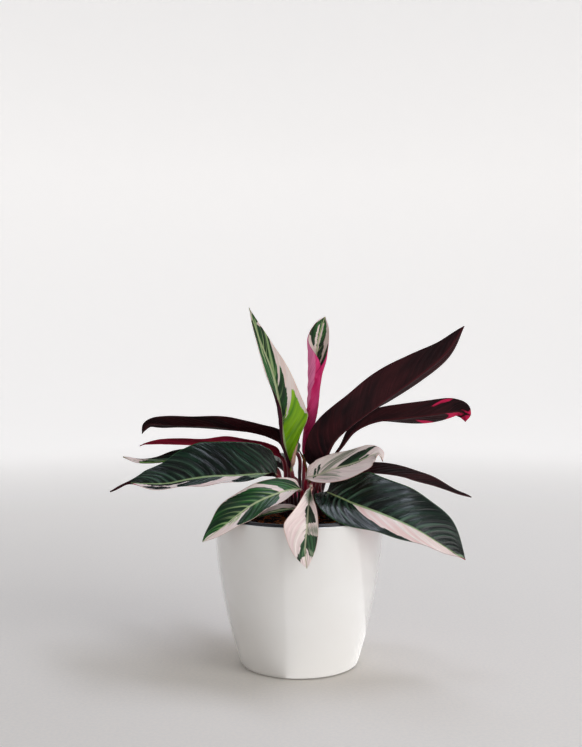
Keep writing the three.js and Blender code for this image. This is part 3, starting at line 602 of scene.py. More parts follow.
            [(0.3, 0.02), (0.4, 0.5), (0.5, 1.1), (0.62, 1.1), (0.55, 0.5), (0.45, 0.02)],
            [(0.6, -0.02), (0.7, -0.5), (0.8, -1.1), (1.1, -1.1), (1.1, 0.0)],
        ],
    },
    "leaf_back_right_tall": {
        "cream": [[(0.4, -0.02), (0.52, -0.5), (0.62, -1.1), (0.74, -1.1), (0.66, -0.5),
                   (0.55, -0.02)]],
    },
}

# Tips that are rolled so tightly that only their underside shows, from this place along the rib.

ROLLED_TIPS = {"leaf_dark_left": 0.84}

# What each leaf is coloured like: its slot in the record, the finish of its upper side, of its
# underside and of its stalk.

FINISHES = {
    "leaf_tall_left": ("leaf_green", "green", "tan", "maroon"),
    "leaf_rolled_pink": ("leaf_rose", "green", "rose", "magenta"),
    "leaf_maroon_right": ("leaf_maroon", "dark", "maroon", "maroon"),
    "leaf_hooked_right": ("leaf_crimson", "dark", "maroon", "maroon"),
    "leaf_cream_right": ("leaf_cream", "cream", "tan", "magenta"),
    "leaf_dark_right": ("leaf_dark", "dark", "maroon", "maroon"),
    "leaf_back_right": ("leaf_maroon", "dark", "maroon", "maroon"),
    "leaf_hanging_front": ("leaf_cream", "cream", "tan", "magenta"),
    "leaf_front_left": ("leaf_green", "green", "tan", "magenta"),
    "leaf_dark_left": ("leaf_dark", "dark", "maroon", "maroon"),
    "leaf_maroon_left": ("leaf_maroon", "dark", "maroon", "maroon"),
    "leaf_crimson_left": ("leaf_crimson", "dark", "crimson", "magenta"),
    # leaf_striped_left is a green leaf whose upper side lies in shadow: its dark look there is painted
    # shade.
    "leaf_striped_left": ("leaf_green", "dark", "tan", "maroon"),
    "leaf_low_front": ("leaf_green", "green", "tan", "magenta"),
    "leaf_back_left": ("leaf_dark", "dark", "maroon", "maroon"),
    "leaf_back": ("leaf_green", "green", "crimson", "magenta"),
    "leaf_back_right_low": ("leaf_dark", "dark", "maroon", "maroon"),
    "leaf_back_right_tall": ("leaf_maroon", "dark", "maroon", "magenta"),
    "leaf_back_left_tall": ("leaf_green", "green", "maroon", "maroon"),
}

# How the leaves are formed beyond what the CAD part holds, in millimetres. The side veins leave
# the midrib at a slant: the margin's end of one lies further to the tip by the lean. The pleats
# follow them, and drift so that they aren't evenly spaced. The margin is rounded down to the
# square root of MARGIN_SHARE of the blade's thickness.

STALK_ROWS = 26
ROW_CROWDING = 0.09
PATH_STEP = 0.001
VEIN_LEAN = 42
VEIN_CURVE = 1.25
PLEAT_SPACING = 10.5
PLEAT_DRIFT = 3
PLEAT_DRIFT_LENGTH = 23
RIB_GROOVE = 0.45
GROOVE_WIDTH = 1.5
MARGIN_SHARE = 0.12

# What each leaf's mesh stores for its skins: named vectors and their parts. Far values stand for
# no mark and no midrib. The pattern of a stalk is as long and as wide as given here, and the
# patterns of two leaves lie a gap apart.

MARK_KINDS = ("cream", "green", "milky", "bright")
FAR_MARK = 99.0
FAR_FROM_RIB = 9.0
STALK_PATTERN_LENGTH = 60
STALK_PATTERN_GIRTH = 8
PATTERN_GAP = 41.0
LEAF_FIELDS = {
    "vein_place": ("vein", "reach", "seed"),
    "mark_fields": ("cream", "milky", "bright"),
    "blade_place": ("along", "side", "from_rib"),
}

# Studio, in metres and degrees. The board glows by emission, as painted light in place of a lit
# backdrop, more and more up to GLOW_TO millimetres from the middle, where it has the front's or the
# back's share of the wall's glow.

FLOOR_RADIUS = 2.4
SWEEP = 1.2
WALL_TOP = 2.8
GLOW_TO = 2600.0
FRONT_GLOW = 0.15
BACK_GLOW = 1.15
MIDDLE = (0, 0, 0.22)
LOW_PLACE = (0.423, -0.621, 0.002)
LOW_TARGET = (0.423, -0.621, 1)

# Soft boxes: where each one is and looks, its two sides, its colour and its turn. The low one
# lies on the floor, and the planter's wall reflects it, with one edge upright on the wall.

SOFT_BOXES = {
    "key": ((1.5, -1.3, 1.1), MIDDLE, (1.2, 1.4), "#ffffff", 0),
    "fill": ((-1.7, -1.0, 0.9), MIDDLE, (0.8, 1.4), "#ffffff", 0),
    "top": ((0.4, 0.25, 1.9), MIDDLE, (1.3, 0.35), "#e8eeff", 0),
    "low": (LOW_PLACE, LOW_TARGET, (1.2, 1.12), "#ffffff", 20),
}
CAMERA_PLACE = (-0.01038, -1.2744, 0.4106)
CAMERA_DROP = 1.79
CAMERA_LENS = 48
SENSOR = 36

# Kinds of node that the materials use most, and their settings

MIX = "ShaderNodeMix"
RANGE = "ShaderNodeMapRange"
MATH = "ShaderNodeMath"
NOISE = "ShaderNodeTexNoise"
MAPPING = "ShaderNodeMapping"
BUMP = "ShaderNodeBump"
COLOUR = {"data_type": "RGBA"}
EASED = {"interpolation_type": "SMOOTHSTEP"}
PLUS = {"operation": "ADD"}
TIMES = {"operation": "MULTIPLY"}
TIMES_PLUS = {"operation": "MULTIPLY_ADD"}

# Sizes of the drawn patterns in millimetres. Those of the leaves run across the side veins, along
# them and from leaf to leaf. The fine lines are three times as wide as the real 0.5 mm ones, and
# the cells and the spark grain four times as wide as real ones, so that they show.

VEIN_STREAKS = (8.5, 60, 1)
FINE_STREAKS = (1.6, 26, 1)
LEAF_PATCHES = (34, 30, 1)
STALK_RIBS = (30, 1.2, 1)
SKIN_CELLS = (1.1, 1.1, 1.1)
PEEL_RIPPLES = (3.5, 3.5, 3.5)
LACQUER_CLOUDS = (70, 70, 70)
SPARK_GRAIN = (0.9, 0.9, 0.9)
PEAT_CRUMBS = (2.4, 2.4, 2.4)
PEAT_CLODS = (11, 11, 11)
BARK_LINES = (2, 2, 0.5)
COIR_LINES = (1.2, 1.2, 0.3)
STALK_WRINKLES = (1.2, 1.2, 14)
STALK_PATCHES = (9, 9, 16)
ROLLER_NAP = (4, 4, 4)
RAGGED_BROAD = 7.0
RAGGED_FINE = 2.5

# Even values of the shaders

WAX = {"IOR": 1.45, "Specular IOR Level": 0.4, "Coat Weight": 0.2, "Coat Roughness": 0.12}
SUEDE = {"IOR": 1.4, "Specular IOR Level": 0.15, "Sheen Weight": 0.01, "Sheen Roughness": 0.4}
STALK_SKIN = {"IOR": 1.42, "Coat Weight": 0.15, "Coat Roughness": 0.25}
LACQUER = {"IOR": 1.5, "Coat Weight": 1.0, "Coat IOR": 1.6, "Coat Roughness": 0.03}
DRY = {"IOR": 1.35, "Specular IOR Level": 0.25}

# Colours of the leaves. deep also serves as painted shade in the troughs of the pleats. feather
# holds the edges over which the pale comes in, strength how far: that pale is partly the leaf's own
# streaks along the side veins and partly a painted highlight on the ridges of the pleats.

JOINT_RED = "#8c2433"
UPPER_LOOKS = {
    "green": {
        "deep": "#0f2f18", "mid": "#2f7530", "pale": "#c0dd96", "blush": "#f8dfd8",
        "line": "#dba79c", "milky": "#a3c485", "bright": "#98cf12", "young": "#3a8414",
        "rib": "#c3cf9c", "margin": "#eccdb8", "feather": (0.66, 0.9), "strength": 0.62,
        "roughness": (0.26, 0.42),
    },
    "dark": {
        "deep": "#050d0a", "mid": "#123021", "pale": "#678871", "blush": "#f1cfcb",
        "line": "#dba8a4", "milky": "#97ab8a", "bright": "#5f8a3a", "young": "#3f7a1c",
        "rib": "#a3bb84", "margin": "#2f5a34", "feather": (0.63, 0.9), "strength": 0.52,
        "roughness": (0.14, 0.34),
    },
    "cream": {
        "deep": "#14281a", "mid": "#3a6a40", "pale": "#93a483", "blush": "#f1d9d9",
        "line": "#d6b2ac", "milky": "#7d8973", "bright": "#7fa050", "young": "#4d7a3c",
        "rib": "#c6c6a8", "margin": "#e6c3b4", "feather": (0.74, 1.0), "strength": 0.5,
        "roughness": (0.4, 0.52),
    },
}
UNDER_LOOKS = {
    "maroon": {"deep": "#120408", "mid": "#300e13", "flush": "#cf1c52", "vein": "#4a141b"},
    "crimson": {"deep": "#560b1b", "mid": "#a31837", "flush": "#d0206c", "vein": "#b8284a"},
    "rose": {"deep": "#cf1a60", "mid": "#f14b8c", "flush": "#ea7fae", "vein": "#a31650"},
    "tan": {"deep": "#240d16", "mid": "#45182a", "flush": "#cfa693", "vein": "#7a3440"},
}
STALK_LOOKS = {
    "maroon": {"foot": "#1c070b", "tube": "#4a1220", "joint": "#7e1f2c"},
    "magenta": {"foot": "#340c20", "tube": "#86264e", "joint": "#a01a34"},
}


# Materials


def linear(hex_colour):
    """The linear colour, with alpha, of an sRGB hex value."""
    parts = [int(hex_colour[i : i + 2], 16) / 255 for i in (1, 3, 5)]
    return [p / 12.92 if p <= 0.04045 else ((p + 0.055) / 1.055) ** 2.4 for p in parts] + [1.0]


def add(tree, kind, settings, inputs, output=0):
    """Adds a node with its settings and gives one of its outputs. Each input is a socket to
    link, a hex colour or a value."""
    made = tree.nodes.new(kind)
    for key, value in settings.items():
        setattr(made, key, value)
    for key, value in inputs.items():
        if isinstance(value, bpy.types.NodeSocket):
            tree.links.new(value, made.inputs[key])
        else:
            made.inputs[key].default_value = linear(value) if isinstance(value, str) else value
    return made.outputs[output] if made.outputs else None


def blank_material(name, values):
    """A new material's tree and its one shader, whose even values are set on its sockets."""
    material = bpy.data.materials.new(name)
    material.use_nodes = True
    tree = material.node_tree
    tree.nodes.clear()
    surface = add(tree, "ShaderNodeBsdfPrincipled", {}, values)
    add(tree, "ShaderNodeOutputMaterial", {}, {"Surface": surface})
    return material, tree, surface.node


def object_place(tree):
    """Where a point is in the object, in millimetres."""
    metres = add(tree, "ShaderNodeTexCoord", {}, {}, "Object")
    return add(tree, "ShaderNodeVectorMath", {"operation": "SCALE"}, {0: metres, "Scale": 1 / MM})


def leaf_fields(tree):
    """What leaf_object stores at each point of a leaf, by name."""
    found = {"pleat": add(tree, "ShaderNodeAttribute", {"attribute_name": "pleat"}, {}, "Fac")}
    for name, parts in LEAF_FIELDS.items():
        found[name] = add(tree, "ShaderNodeAttribute", {"attribute_name": name}, {}, "Vector")
        split = add(tree, "ShaderNodeSeparateXYZ", {}, {0: found[name]}).node
        found.update(zip(parts, split.outputs))
    return found


def streaks(tree, place, sizes, detail=2.0):
    """Noise whose lumps have these lengths along the three directions of a place."""
    scaled = add(tree, MAPPING, {}, {"Vector": place, "Scale": [1 / size for size in sizes]})
    return add(tree, NOISE, {}, {"Vector": scaled, "Scale": 1.0, "Detail": detail})


def layer(tree, below, above, value, edges, most=1.0):
    """Lays a colour over another, more and more as a value goes from one edge to the other."""
    share = add(tree, RANGE, EASED, {0: value, 1: edges[0], 2: edges[1], 3: 0.0, 4: most})
    return add(tree, MIX, COLOUR, {0: share, 6: below, 7: above}, 2)


def dress(tree, shader, colour, value, roughness, height, relief):
    """Gives a shader its colour, a roughness that follows a value and a relief in metres."""
    rough = add(tree, RANGE, EASED, {0: value, 1: 0.3, 2: 0.7, 3: roughness[0], 4: roughness[1]})
    normal = add(tree, BUMP, {}, {"Strength": 1.0, "Distance": relief, "Height": height})
    for key, socket in (("Base Color", colour), ("Roughness", rough), ("Normal", normal)):
        tree.links.new(socket, shader.inputs[key])


def upper_material(kind, settings):
    """A leaf's waxed upper skin: satin gloss that breaks up along the side veins, green with pale
    streaks out from the midrib that are partly its own marking and partly a painted highlight on the
    ridges of the pleats, painted shade in their troughs, and sectors without green that show cream
    and pink."""
    look = UPPER_LOOKS[kind]
    material, tree, shader = blank_material(f"waxed_leaf_skin_{kind}", WAX)
    at = leaf_fields(tree)
    broad = streaks(tree, at["vein_place"], VEIN_STREAKS, 3)
    fine = streaks(tree, at["vein_place"], FINE_STREAKS)
    patch = streaks(tree, at["vein_place"], LEAF_PATCHES)
    cells = streaks(tree, object_place(tree), SKIN_CELLS, 3)

    # Green: painted shade darkens the troughs of the pleats. Near the midrib it turns pale in streaks
    # along the side veins, partly the leaf's own marking and partly a painted highlight on the ridges
    # of the pleats
    green = layer(tree, look["deep"], look["mid"], patch, (0.35, 0.68))
    # Painted shade in the troughs of the pleats
    green = layer(tree, green, look["deep"], at["pleat"], (0.1, -0.9), 0.7)
    # The leaf's own pale streaks along the side veins, with a painted highlight on the ridges of the
    # pleats
    pale_streaks_and_ridge_highlight = add(tree, MATH, TIMES_PLUS, {0: at["pleat"], 1: 0.15, 2: broad})
    pale_streaks_and_ridge_highlight = add(tree, MATH, TIMES_PLUS, {0: fine, 1: 0.3, 2: pale_streaks_and_ridge_highlight})
    pale_streaks_and_ridge_highlight = add(tree, MATH, TIMES_PLUS, {0: at["side"], 1: -0.22, 2: pale_streaks_and_ridge_highlight})
    green = layer(tree, green, look["pale"], pale_streaks_and_ridge_highlight, look["feather"], look["strength"])
    green = layer(tree, green, look["deep"], fine, (0.5, 0.75), 0.35)

    # A new leaf's bright green, and grey-green where the green is thin
    young = layer(tree, look["bright"], look["young"], broad, (0.4, 0.8))
    green = layer(tree, green, young, add(tree, MATH, PLUS, {0: at["bright"], 1: broad}), (0, 1))
    veil = add(tree, MATH, TIMES_PLUS, {0: broad, 1: 7.0, 2: at["milky"]})
    hatch = layer(tree, look["milky"], look["pale"], fine, (0.4, 0.62))
    green = layer(tree, green, hatch, veil, (2.5, 6), 0.85)

    # Cream, flushed with pink between the veins, with a border that is ragged along them
    cream = tuple(settings.cream_colour) + (1.0,)
    pale = layer(tree, cream, look["blush"], broad, (0.35, 0.7))
    pale = layer(tree, pale, look["line"], fine, (0.55, 0.75), 0.16)
    thin = add(tree, MATH, TIMES_PLUS, {0: fine, 1: 30.0, 2: veil})
    pale = layer(tree, pale, look["milky"], thin, (16, 23), 0.9)
    border = add(tree, MATH, TIMES_PLUS, {0: broad, 1: RAGGED_BROAD, 2: at["cream"]})
    border = add(tree, MATH, TIMES_PLUS, {0: fine, 1: RAGGED_FINE, 2: border})
    middle = (RAGGED_BROAD + RAGGED_FINE) / 2
    skin = layer(tree, green, pale, border, (middle - 0.4, middle + 0.4))

    # The midrib, the thin margin and the red base
    rib = add(tree, RANGE, EASED, {0: at["along"], 1: 0.45, 2: 1.0, 3: 1.0, 4: 2.6})
    rib = add(tree, MATH, TIMES, {0: at["from_rib"], 1: rib})
    skin = layer(tree, skin, look["rib"], rib, (2.0, 0.7), 0.85)
    skin = layer(tree, skin, look["margin"], at["side"], (0.965, 0.985), 0.8)
    skin = layer(tree, skin, JOINT_RED, at["along"], (0.035, 0.0))
    raised = add(tree, MATH, TIMES_PLUS, {0: fine, 1: 0.5, 2: broad})
    raised = add(tree, MATH, TIMES_PLUS, {0: cells, 1: 0.15, 2: raised})
    dress(tree, shader, skin, broad, look["roughness"], raised, 0.0011)
    return material


def under_material(kind):
    """A leaf's matt underside: wine-red skin like suede, with raised veins that run a shade
    redder, and rose or tan where the upper side holds no green."""
    look = UNDER_LOOKS[kind]
    material, tree, shader = blank_material(f"suede_leaf_underside_{kind}", SUEDE)
    at = leaf_fields(tree)
    broad = streaks(tree, at["vein_place"], VEIN_STREAKS, 3)
    fine = streaks(tree, at["vein_place"], FINE_STREAKS)
    patch = streaks(tree, at["vein_place"], LEAF_PATCHES)
    skin = layer(tree, look["deep"], look["mid"], patch, (0.3, 0.7))
    skin = layer(tree, skin, look["vein"], broad, (0.6, 0.75), 0.5)
    skin = layer(tree, skin, look["deep"], fine, (0.5, 0.75), 0.4)
    skin = layer(tree, skin, look["vein"], fine, (0.42, 0.3), 0.4)
    border = add(tree, MATH, TIMES_PLUS, {0: broad, 1: RAGGED_BROAD, 2: at["cream"]})
    flush = layer(tree, look["flush"], look["vein"], fine, (0.45, 0.7), 0.4)
    skin = layer(tree, skin, flush, border, (RAGGED_BROAD / 2 - 1, RAGGED_BROAD / 2 + 1))
    skin = layer(tree, skin, look["vein"], at["from_rib"], (2.2, 0.8), 0.5)
    skin = layer(tree, skin, look["vein"], at["side"], (0.965, 0.985), 0.4)
    skin = layer(tree, skin, JOINT_RED, at["along"], (0.035, 0.0))
    raised = add(tree, MATH, TIMES_PLUS, {0: fine, 1: 0.6, 2: broad})
    dress(tree, shader, skin, fine, (0.5, 0.62), raised, 0.0008)
    return material


def stalk_material(kind):
    """A fleshy leaf stalk: smooth wine-red skin with fine lengthwise ribs, and the glossy red
    joint that turns the blade."""
    look = STALK_LOOKS[kind]
    material, tree, shader = blank_material(f"fleshy_stalk_skin_{kind}", STALK_SKIN)
    at = leaf_fields(tree)
    ribs = streaks(tree, at["vein_place"], STALK_RIBS)
    skin = layer(tree, look["foot"], look["tube"], at["along"], (-1.0, -0.35))
    skin = layer(tree, skin, look["foot"], ribs, (0.35, 0.7), 0.6)
    skin = layer(tree, skin, look["joint"], at["along"], (-0.3, -0.15))
    dress(tree, shader, skin, ribs, (0.3, 0.45), ribs, 0.0003)
    return material


def planter_material(settings):
    """Injection-moulded ABS with a high-gloss white lacquer: clear soft reflections over a very
    faint orange-peel ripple, and a white that is slightly warmer in broad soft clouds."""
    material, tree, shader = blank_material("lacquered_white_abs", LACQUER)
    place = object_place(tree)
    peel = streaks(tree, place, PEEL_RIPPLES)
    cloud = streaks(tree, place, LACQUER_CLOUDS)
    white = tuple(settings.planter_colour) + (1.0,)
    tone = layer(tree, white, "#dfdcd8", cloud, (0.3, 0.7), 0.4)
    dress(tree, shader, tone, cloud, (0.1, 0.16), peel, 0.000005)
    return material


def liner_material(settings):
    """Black moulded polypropylene: a soft sheen over spark-eroded grain."""
    material, tree, shader = blank_material("moulded_black_polypropylene", {"IOR": 1.49})
    spark = streaks(tree, object_place(tree), SPARK_GRAIN, 4)
    black = tuple(settings.liner_colour) + (1.0,)
    tone = layer(tree, black, "#1d2030", spark, (0.3, 0.7), 0.6)
    dress(tree, shader, tone, spark, (0.3, 0.42), spark, 0.0001)
    return material


def peat_material():
    """Damp peat and coir dust: dull near-black crumbs with a few lighter grains."""
    material, tree, shader = blank_material("damp_peat_and_coir_dust", DRY)
    place = object_place(tree)
    crumb = streaks(tree, place, PEAT_CRUMBS, 5)
    clod = streaks(tree, place, PEAT_CLODS, 3)
    tone = layer(tree, "#080504", "#1d0f09", clod, (0.35, 0.65))
    tone = layer(tree, tone, "#5a2d12", crumb, (0.6, 0.75), 0.7)
    dress(tree, shader, tone, crumb, (0.95, 0.8), crumb, 0.0018)
    return material


def bark_material(name, dark, light, sizes):
    """Composted conifer bark or coir fibre: dry, splintery and orange-brown, with darker
    growth lines along the grain."""
    material, tree, shader = blank_material(name, DRY)
    line = streaks(tree, object_place(tree), sizes, 4)
    tone = layer(tree, dark, light, line, (0.35, 0.68))
    dress(tree, shader, tone, line, (0.9, 0.7), line, 0.0006)
    return material


def bract_material():
    """A spent flower stalk: dried to olive-brown, with lengthwise wrinkles."""
    material, tree, shader = blank_material("dried_flower_stalk", DRY)
    place = object_place(tree)
    wrinkle = streaks(tree, place, STALK_WRINKLES, 4)
    patch = streaks(tree, place, STALK_PATCHES)
    tone = layer(tree, "#3c2412", "#7a5426", patch, (0.35, 0.65))
    tone = layer(tree, tone, "#1f110a", wrinkle, (0.45, 0.7), 0.6)
    dress(tree, shader, tone, wrinkle, (0.5, 0.75), wrinkle, 0.0006)
    return material


def backdrop_material(settings):
    """Matt painted studio board: a warm pale grey with a faint roller texture. It glows by emission,
    rising evenly towards the wall and stronger at the back than at the front: painted light in place
    of a board lit from behind."""
    material, tree, shader = blank_material("painted_studio_board", {"IOR": 1.4})
    place = object_place(tree)
    nap = streaks(tree, place, ROLLER_NAP)
    paint = tuple(settings.backdrop_colour) + (1.0,)
    tone = layer(tree, paint, "#dcdbd9", nap, (0.3, 0.7), 0.3)
    dress(tree, shader, tone, nap, (0.7, 0.8), nap, 0.0001)
    # Painted light: emission that makes the board glow, rising towards the wall and stronger at the
    # back
    flat = add(tree, "ShaderNodeVectorMath", {"operation": "MULTIPLY"}, {0: place, 1: (1, 1, 0)})
    radius = add(tree, "ShaderNodeVectorMath", {"operation": "LENGTH"}, {0: flat}, "Value")
    back = add(tree, "ShaderNodeSeparateXYZ", {}, {0: place}, "Y")
    ends = {0: back, 1: -GLOW_TO, 2: GLOW_TO, 3: FRONT_GLOW, 4: BACK_GLOW}
    most = add(tree, MATH, TIMES, {0: add(tree, RANGE, EASED, ends), 1: settings.wall_glow})
    glow = add(tree, RANGE, {}, {0: radius, 1: 0.0, 2: GLOW_TO, 3: 0.0, 4: most})
    tree.links.new(glow, shader.inputs["Emission Strength"])
    shader.inputs["Emission Color"].default_value = linear("#eef0f5")
    return material


# Curves and interpolation


def smooth_between(padded, u):
    """The Catmull-Rom value at each u, 0 to 1, of rows that have one more row at either end."""
    place = np.clip(u, 0, 1) * (len(padded) - 3)
    start = np.minimum(place.astype(int), len(padded) - 4)
    f = (place - start)[:, None]
    a, b, c, d = (padded[start + k] for k in range(4))
    bend = (2 * a - 5 * b + 4 * c - d) * f**2
    return 0.5 * (2 * b + (c - a) * f + bend + (3 * b - a - 3 * c + d) * f**3)


def spline(points, u):
    """A smooth place at each u, 0 to 1, through evenly counted points."""
    points = np.asarray(points, float)
    ends = (2 * points[0] - points[1], 2 * points[-1] - points[-2])
    return smooth_between(np.vstack([ends[0], points, ends[1]]), u)


def along_list(values, t):
    """A smooth value at each t, 0 to 1, through a list of evenly spaced numbers."""
    values = np.asarray(values, float)[:, None]
    return smooth_between(np.vstack([values[:1], values, values[-1:]]), t)[:, 0]


def smoothstep(low, high, value):
    """0 below low, 1 above high and eased between them."""
    share = np.clip((value - low) / (high - low), 0, 1)
    return share * share * (3 - 2 * share)


def inside_distance(place, polygon):
    """How far each point lies inside a polygon, below 0 outside it."""
    corners = np.asarray(polygon, float)
    nearest = np.full(len(place), np.inf)
    inside = np.zeros(len(place), bool)
    for (ax, ay), (bx, by) in zip(corners, np.roll(corners, -1, 0)):
        way = np.array([bx - ax, by - ay])
        from_a = place - (ax, ay)
        share = np.clip(from_a @ way / max(way @ way, 1e-9), 0, 1)
        nearest = np.minimum(nearest, np.hypot(*(from_a - share[:, None] * way).T))
        if ay != by:
            spans = (ay > place[:, 1]) != (by > place[:, 1])
            inside ^= spans & (place[:, 0] < ax + (place[:, 1] - ay) / (by - ay) * (bx - ax))
    return np.where(inside, nearest, -nearest)


# Meshes


def unit(ways):
    """The same ways, each of length 1."""
    return ways / np.linalg.norm(ways, axis=1)[:, None]


def mesh_object(name, vertices, faces, materials, indices=None, smooth=True):
    """A new object from points in metres and lists of corners."""
    mesh = bpy.data.meshes.new(name)
    mesh.from_pydata(np.asarray(vertices).tolist(), [], faces)
    for material in materials:
        mesh.materials.append(material)
    if indices is not None:
        mesh.polygons.foreach_set("material_index", indices)
    mesh.polygons.foreach_set("use_smooth", [smooth] * len(mesh.polygons))
    mesh.update()
    made = bpy.data.objects.new(name, mesh)
    bpy.context.scene.collection.objects.link(made)
    return made


def ring_faces(count, sides, closed_ends=True):
    """The quads between rings of points, and one face over each end ring."""
    faces = []
    for i in range(count - 1):
        for j in range(sides):
            after = (j + 1) % sides
            low, high = i * sides, (i + 1) * sides
            faces.append([low + j, low + after, high + after, high + j])
    if closed_ends:
        faces.append(list(range(sides))[::-1])
        faces.append([(count - 1) * sides + j for j in range(sides)])
    return faces


def turned(name, profile, segments, material):
    """A closed body turned round the z axis from its section of (radius, height)."""
    profile = np.asarray(profile, float) * MM
    inner = profile[1:-1]
    angles = np.arange(segments) * 2 * math.pi / segments
    vertices = [(r * math.cos(a), r * math.sin(a), z) for r, z in inner for a in angles]
    vertices += [(0, 0, profile[0][1]), (0, 0, profile[-1][1])]
    faces = ring_faces(len(inner), segments, closed_ends=False)
    low, high = len(vertices) - 2, len(vertices) - 1
    last = (len(inner) - 1) * segments
    for j in range(segments):
        after = (j + 1) % segments
        faces.append([low, after, j])
        faces.append([high, last + j, last + after])
    return mesh_object(name, vertices, faces, [material])


def tube_points(path, radii, aside, sides):
    """Rings of points round a path in millimetres. The path never runs along aside."""
    tangent = unit(np.gradient(path, axis=0))
    across = unit(np.cross(tangent, aside))
    over = np.cross(tangent, across)
    angle = np.arange(sides) * 2 * math.pi / sides
    ring = np.cos(angle)[:, None] * across[:, None] + np.sin(angle)[:, None] * over[:, None]
    return (path[:, None] + radii[:, None, None] * ring).reshape(-1, 3)


def joined(bodies):
    """The points and faces of many small bodies, as those of one mesh."""
    points, faces, first = [], [], 0
    for own_points, own_faces in bodies:
        points.append(own_points)
        faces += [[first + corner for corner in face] for face in own_faces]
        first += len(own_points)
    return np.vstack(points), faces


def outer_radius(height):
    """The radius of the planter's outside at a height: a cone that flares less to the rim. The
    liner goes on straight up above it."""
    rise = 1 - max(1 - height / PLANTER_HEIGHT, 0) ** FLARE_POWER
    return BASE_RADIUS + (RIM_RADIUS - BASE_RADIUS) * rise


def wall_profile(offset, low, high, steps):
    """Points of the wall's section, this far inside the planter's outside."""
    heights = [low + (high - low) * k / steps for k in range(steps + 1)]
    return [(outer_radius(h) - offset, h) for h in heights]


# Leaves


def outline(leaf, side, t):
    """The share of its widest that a half has at t: round at the base, drawn out to the tip."""
    widest = leaf["widest"][side]
    rising = np.maximum(0, 1 - (1 - t / widest) ** 2) ** leaf.get("base", 0.5)
    falling = 1 - (np.maximum(0, t - widest) / (1 - widest)) ** leaf["taper"][side]
    left = along_list(leaf["pinch"][side], t) if "pinch" in leaf else 1
    return np.where(t < widest, rising, falling) * left


def half_section(leaf, side, t, across):
    """One half of the blade at each t: places across and up, and the normal's two parts."""
    sign = -1 if side == 0 else 1
    share = np.linspace(0, 1, across + 1)
    half = np.maximum(leaf["half"][side] * outline(leaf, side, t), TIP_HALF_WIDTH)[:, None]
    fold = np.radians(along_list(leaf["fold"][side], t))[:, None]
    curl = np.radians(along_list(leaf["curl"][side], t))[:, None]
    chord = fold + curl * (share[1:] - 0.5 / across)
    start = np.zeros((len(t), 1))
    x = np.hstack([start, np.cumsum(half / across * np.cos(chord), 1)])
    z = np.hstack([start, np.cumsum(half / across * np.sin(chord), 1)])
    angle = fold + curl * share
    height, count, phase = leaf["wave"]
    ripple = np.sin(2 * math.pi * count * t + phase + 1.7 * side)[:, None]
    ripple = height * share**2 * ripple
    x = x - ripple * np.sin(angle)
    z = z + ripple * np.cos(angle)
    normal_x, normal_z = -np.sin(angle), np.cos(angle)
    normal_x[:, 0], normal_z[:, 0] = 0, 1
    return {
        "x": sign * x, "z": z, "nx": sign * normal_x, "nz": normal_z,
        "from_rib": share * half, "share": np.broadcast_to(share, x.shape),
    }


def blade_length(leaf):
    """The length of the midrib, in millimetres."""
    path = spline(leaf["rib"], np.linspace(0, 1, 100))
    return float(np.linalg.norm(np.diff(path, axis=0), axis=1).sum())


def mark_field(leaf, kind, place):
    """How far in millimetres each place lies inside a leaf's marks of a kind."""
    polygons = MARKS.get(leaf["name"], {}).get(kind, [])
    scale = (blade_length(leaf), max(leaf["half"]))
    fields = [inside_distance(place * scale, np.array(p) * scale) for p in polygons]
    return np.max(fields, 0) if fields else np.full(len(place), -FAR_MARK)


def leaf_stations(leaf, rows):
    """Where the rings stand: along the stalk, along the rib and along the whole path. They crowd
    towards both ends of the blade."""
    base = len(leaf["stalk"]) / (len(leaf["stalk"]) + len(leaf["rib"]) - 1)
    s = np.arange(STALK_ROWS) / STALK_ROWS
    step = np.arange(rows + 1) / rows
    t = step - ROW_CROWDING * np.sin(2 * math.pi * step)
    return s, t, np.concatenate([s * base, base + (1 - base) * t])


def path_frame(leaf, u, t):
    """The path's place at each ring, and the ways to its right and up there."""
    path = leaf["stalk"] + leaf["rib"]
    after, before = np.minimum(u + PATH_STEP, 1), np.maximum(u - PATH_STEP, 0)
    tangent = unit(spline(path, after) - spline(path, before))
    faces = unit(np.asarray(leaf["face"], float))
    up = np.stack([along_list(faces[:, k], t) for k in range(3)], 1)
    up = unit(up - (up * tangent).sum(1)[:, None] * tangent)
    return spline(path, u), np.cross(tangent, up), up


def upper_side(leaf, t, columns):
    """The upper side at each t, from the left margin to the right one: its section and what the
    skins read there."""
    halves = [half_section(leaf, side, t, columns) for side in (0, 1)]
    upper = {
        key: np.hstack([halves[0][key][:, ::-1], halves[1][key][:, 1:]]) for key in halves[0]
    }
    upper["signed"] = np.hstack([-halves[0]["share"][:, ::-1], halves[1]["share"][:, 1:]])
    vein = t[:, None] * blade_length(leaf) - VEIN_LEAN * upper["share"] ** VEIN_CURVE
    drift = PLEAT_DRIFT * np.sin(vein / PLEAT_DRIFT_LENGTH + leaf["wave"][2])
    upper["vein"] = vein
    upper["pleat"] = np.sin(2 * math.pi * vein / PLEAT_SPACING + drift)
    return upper


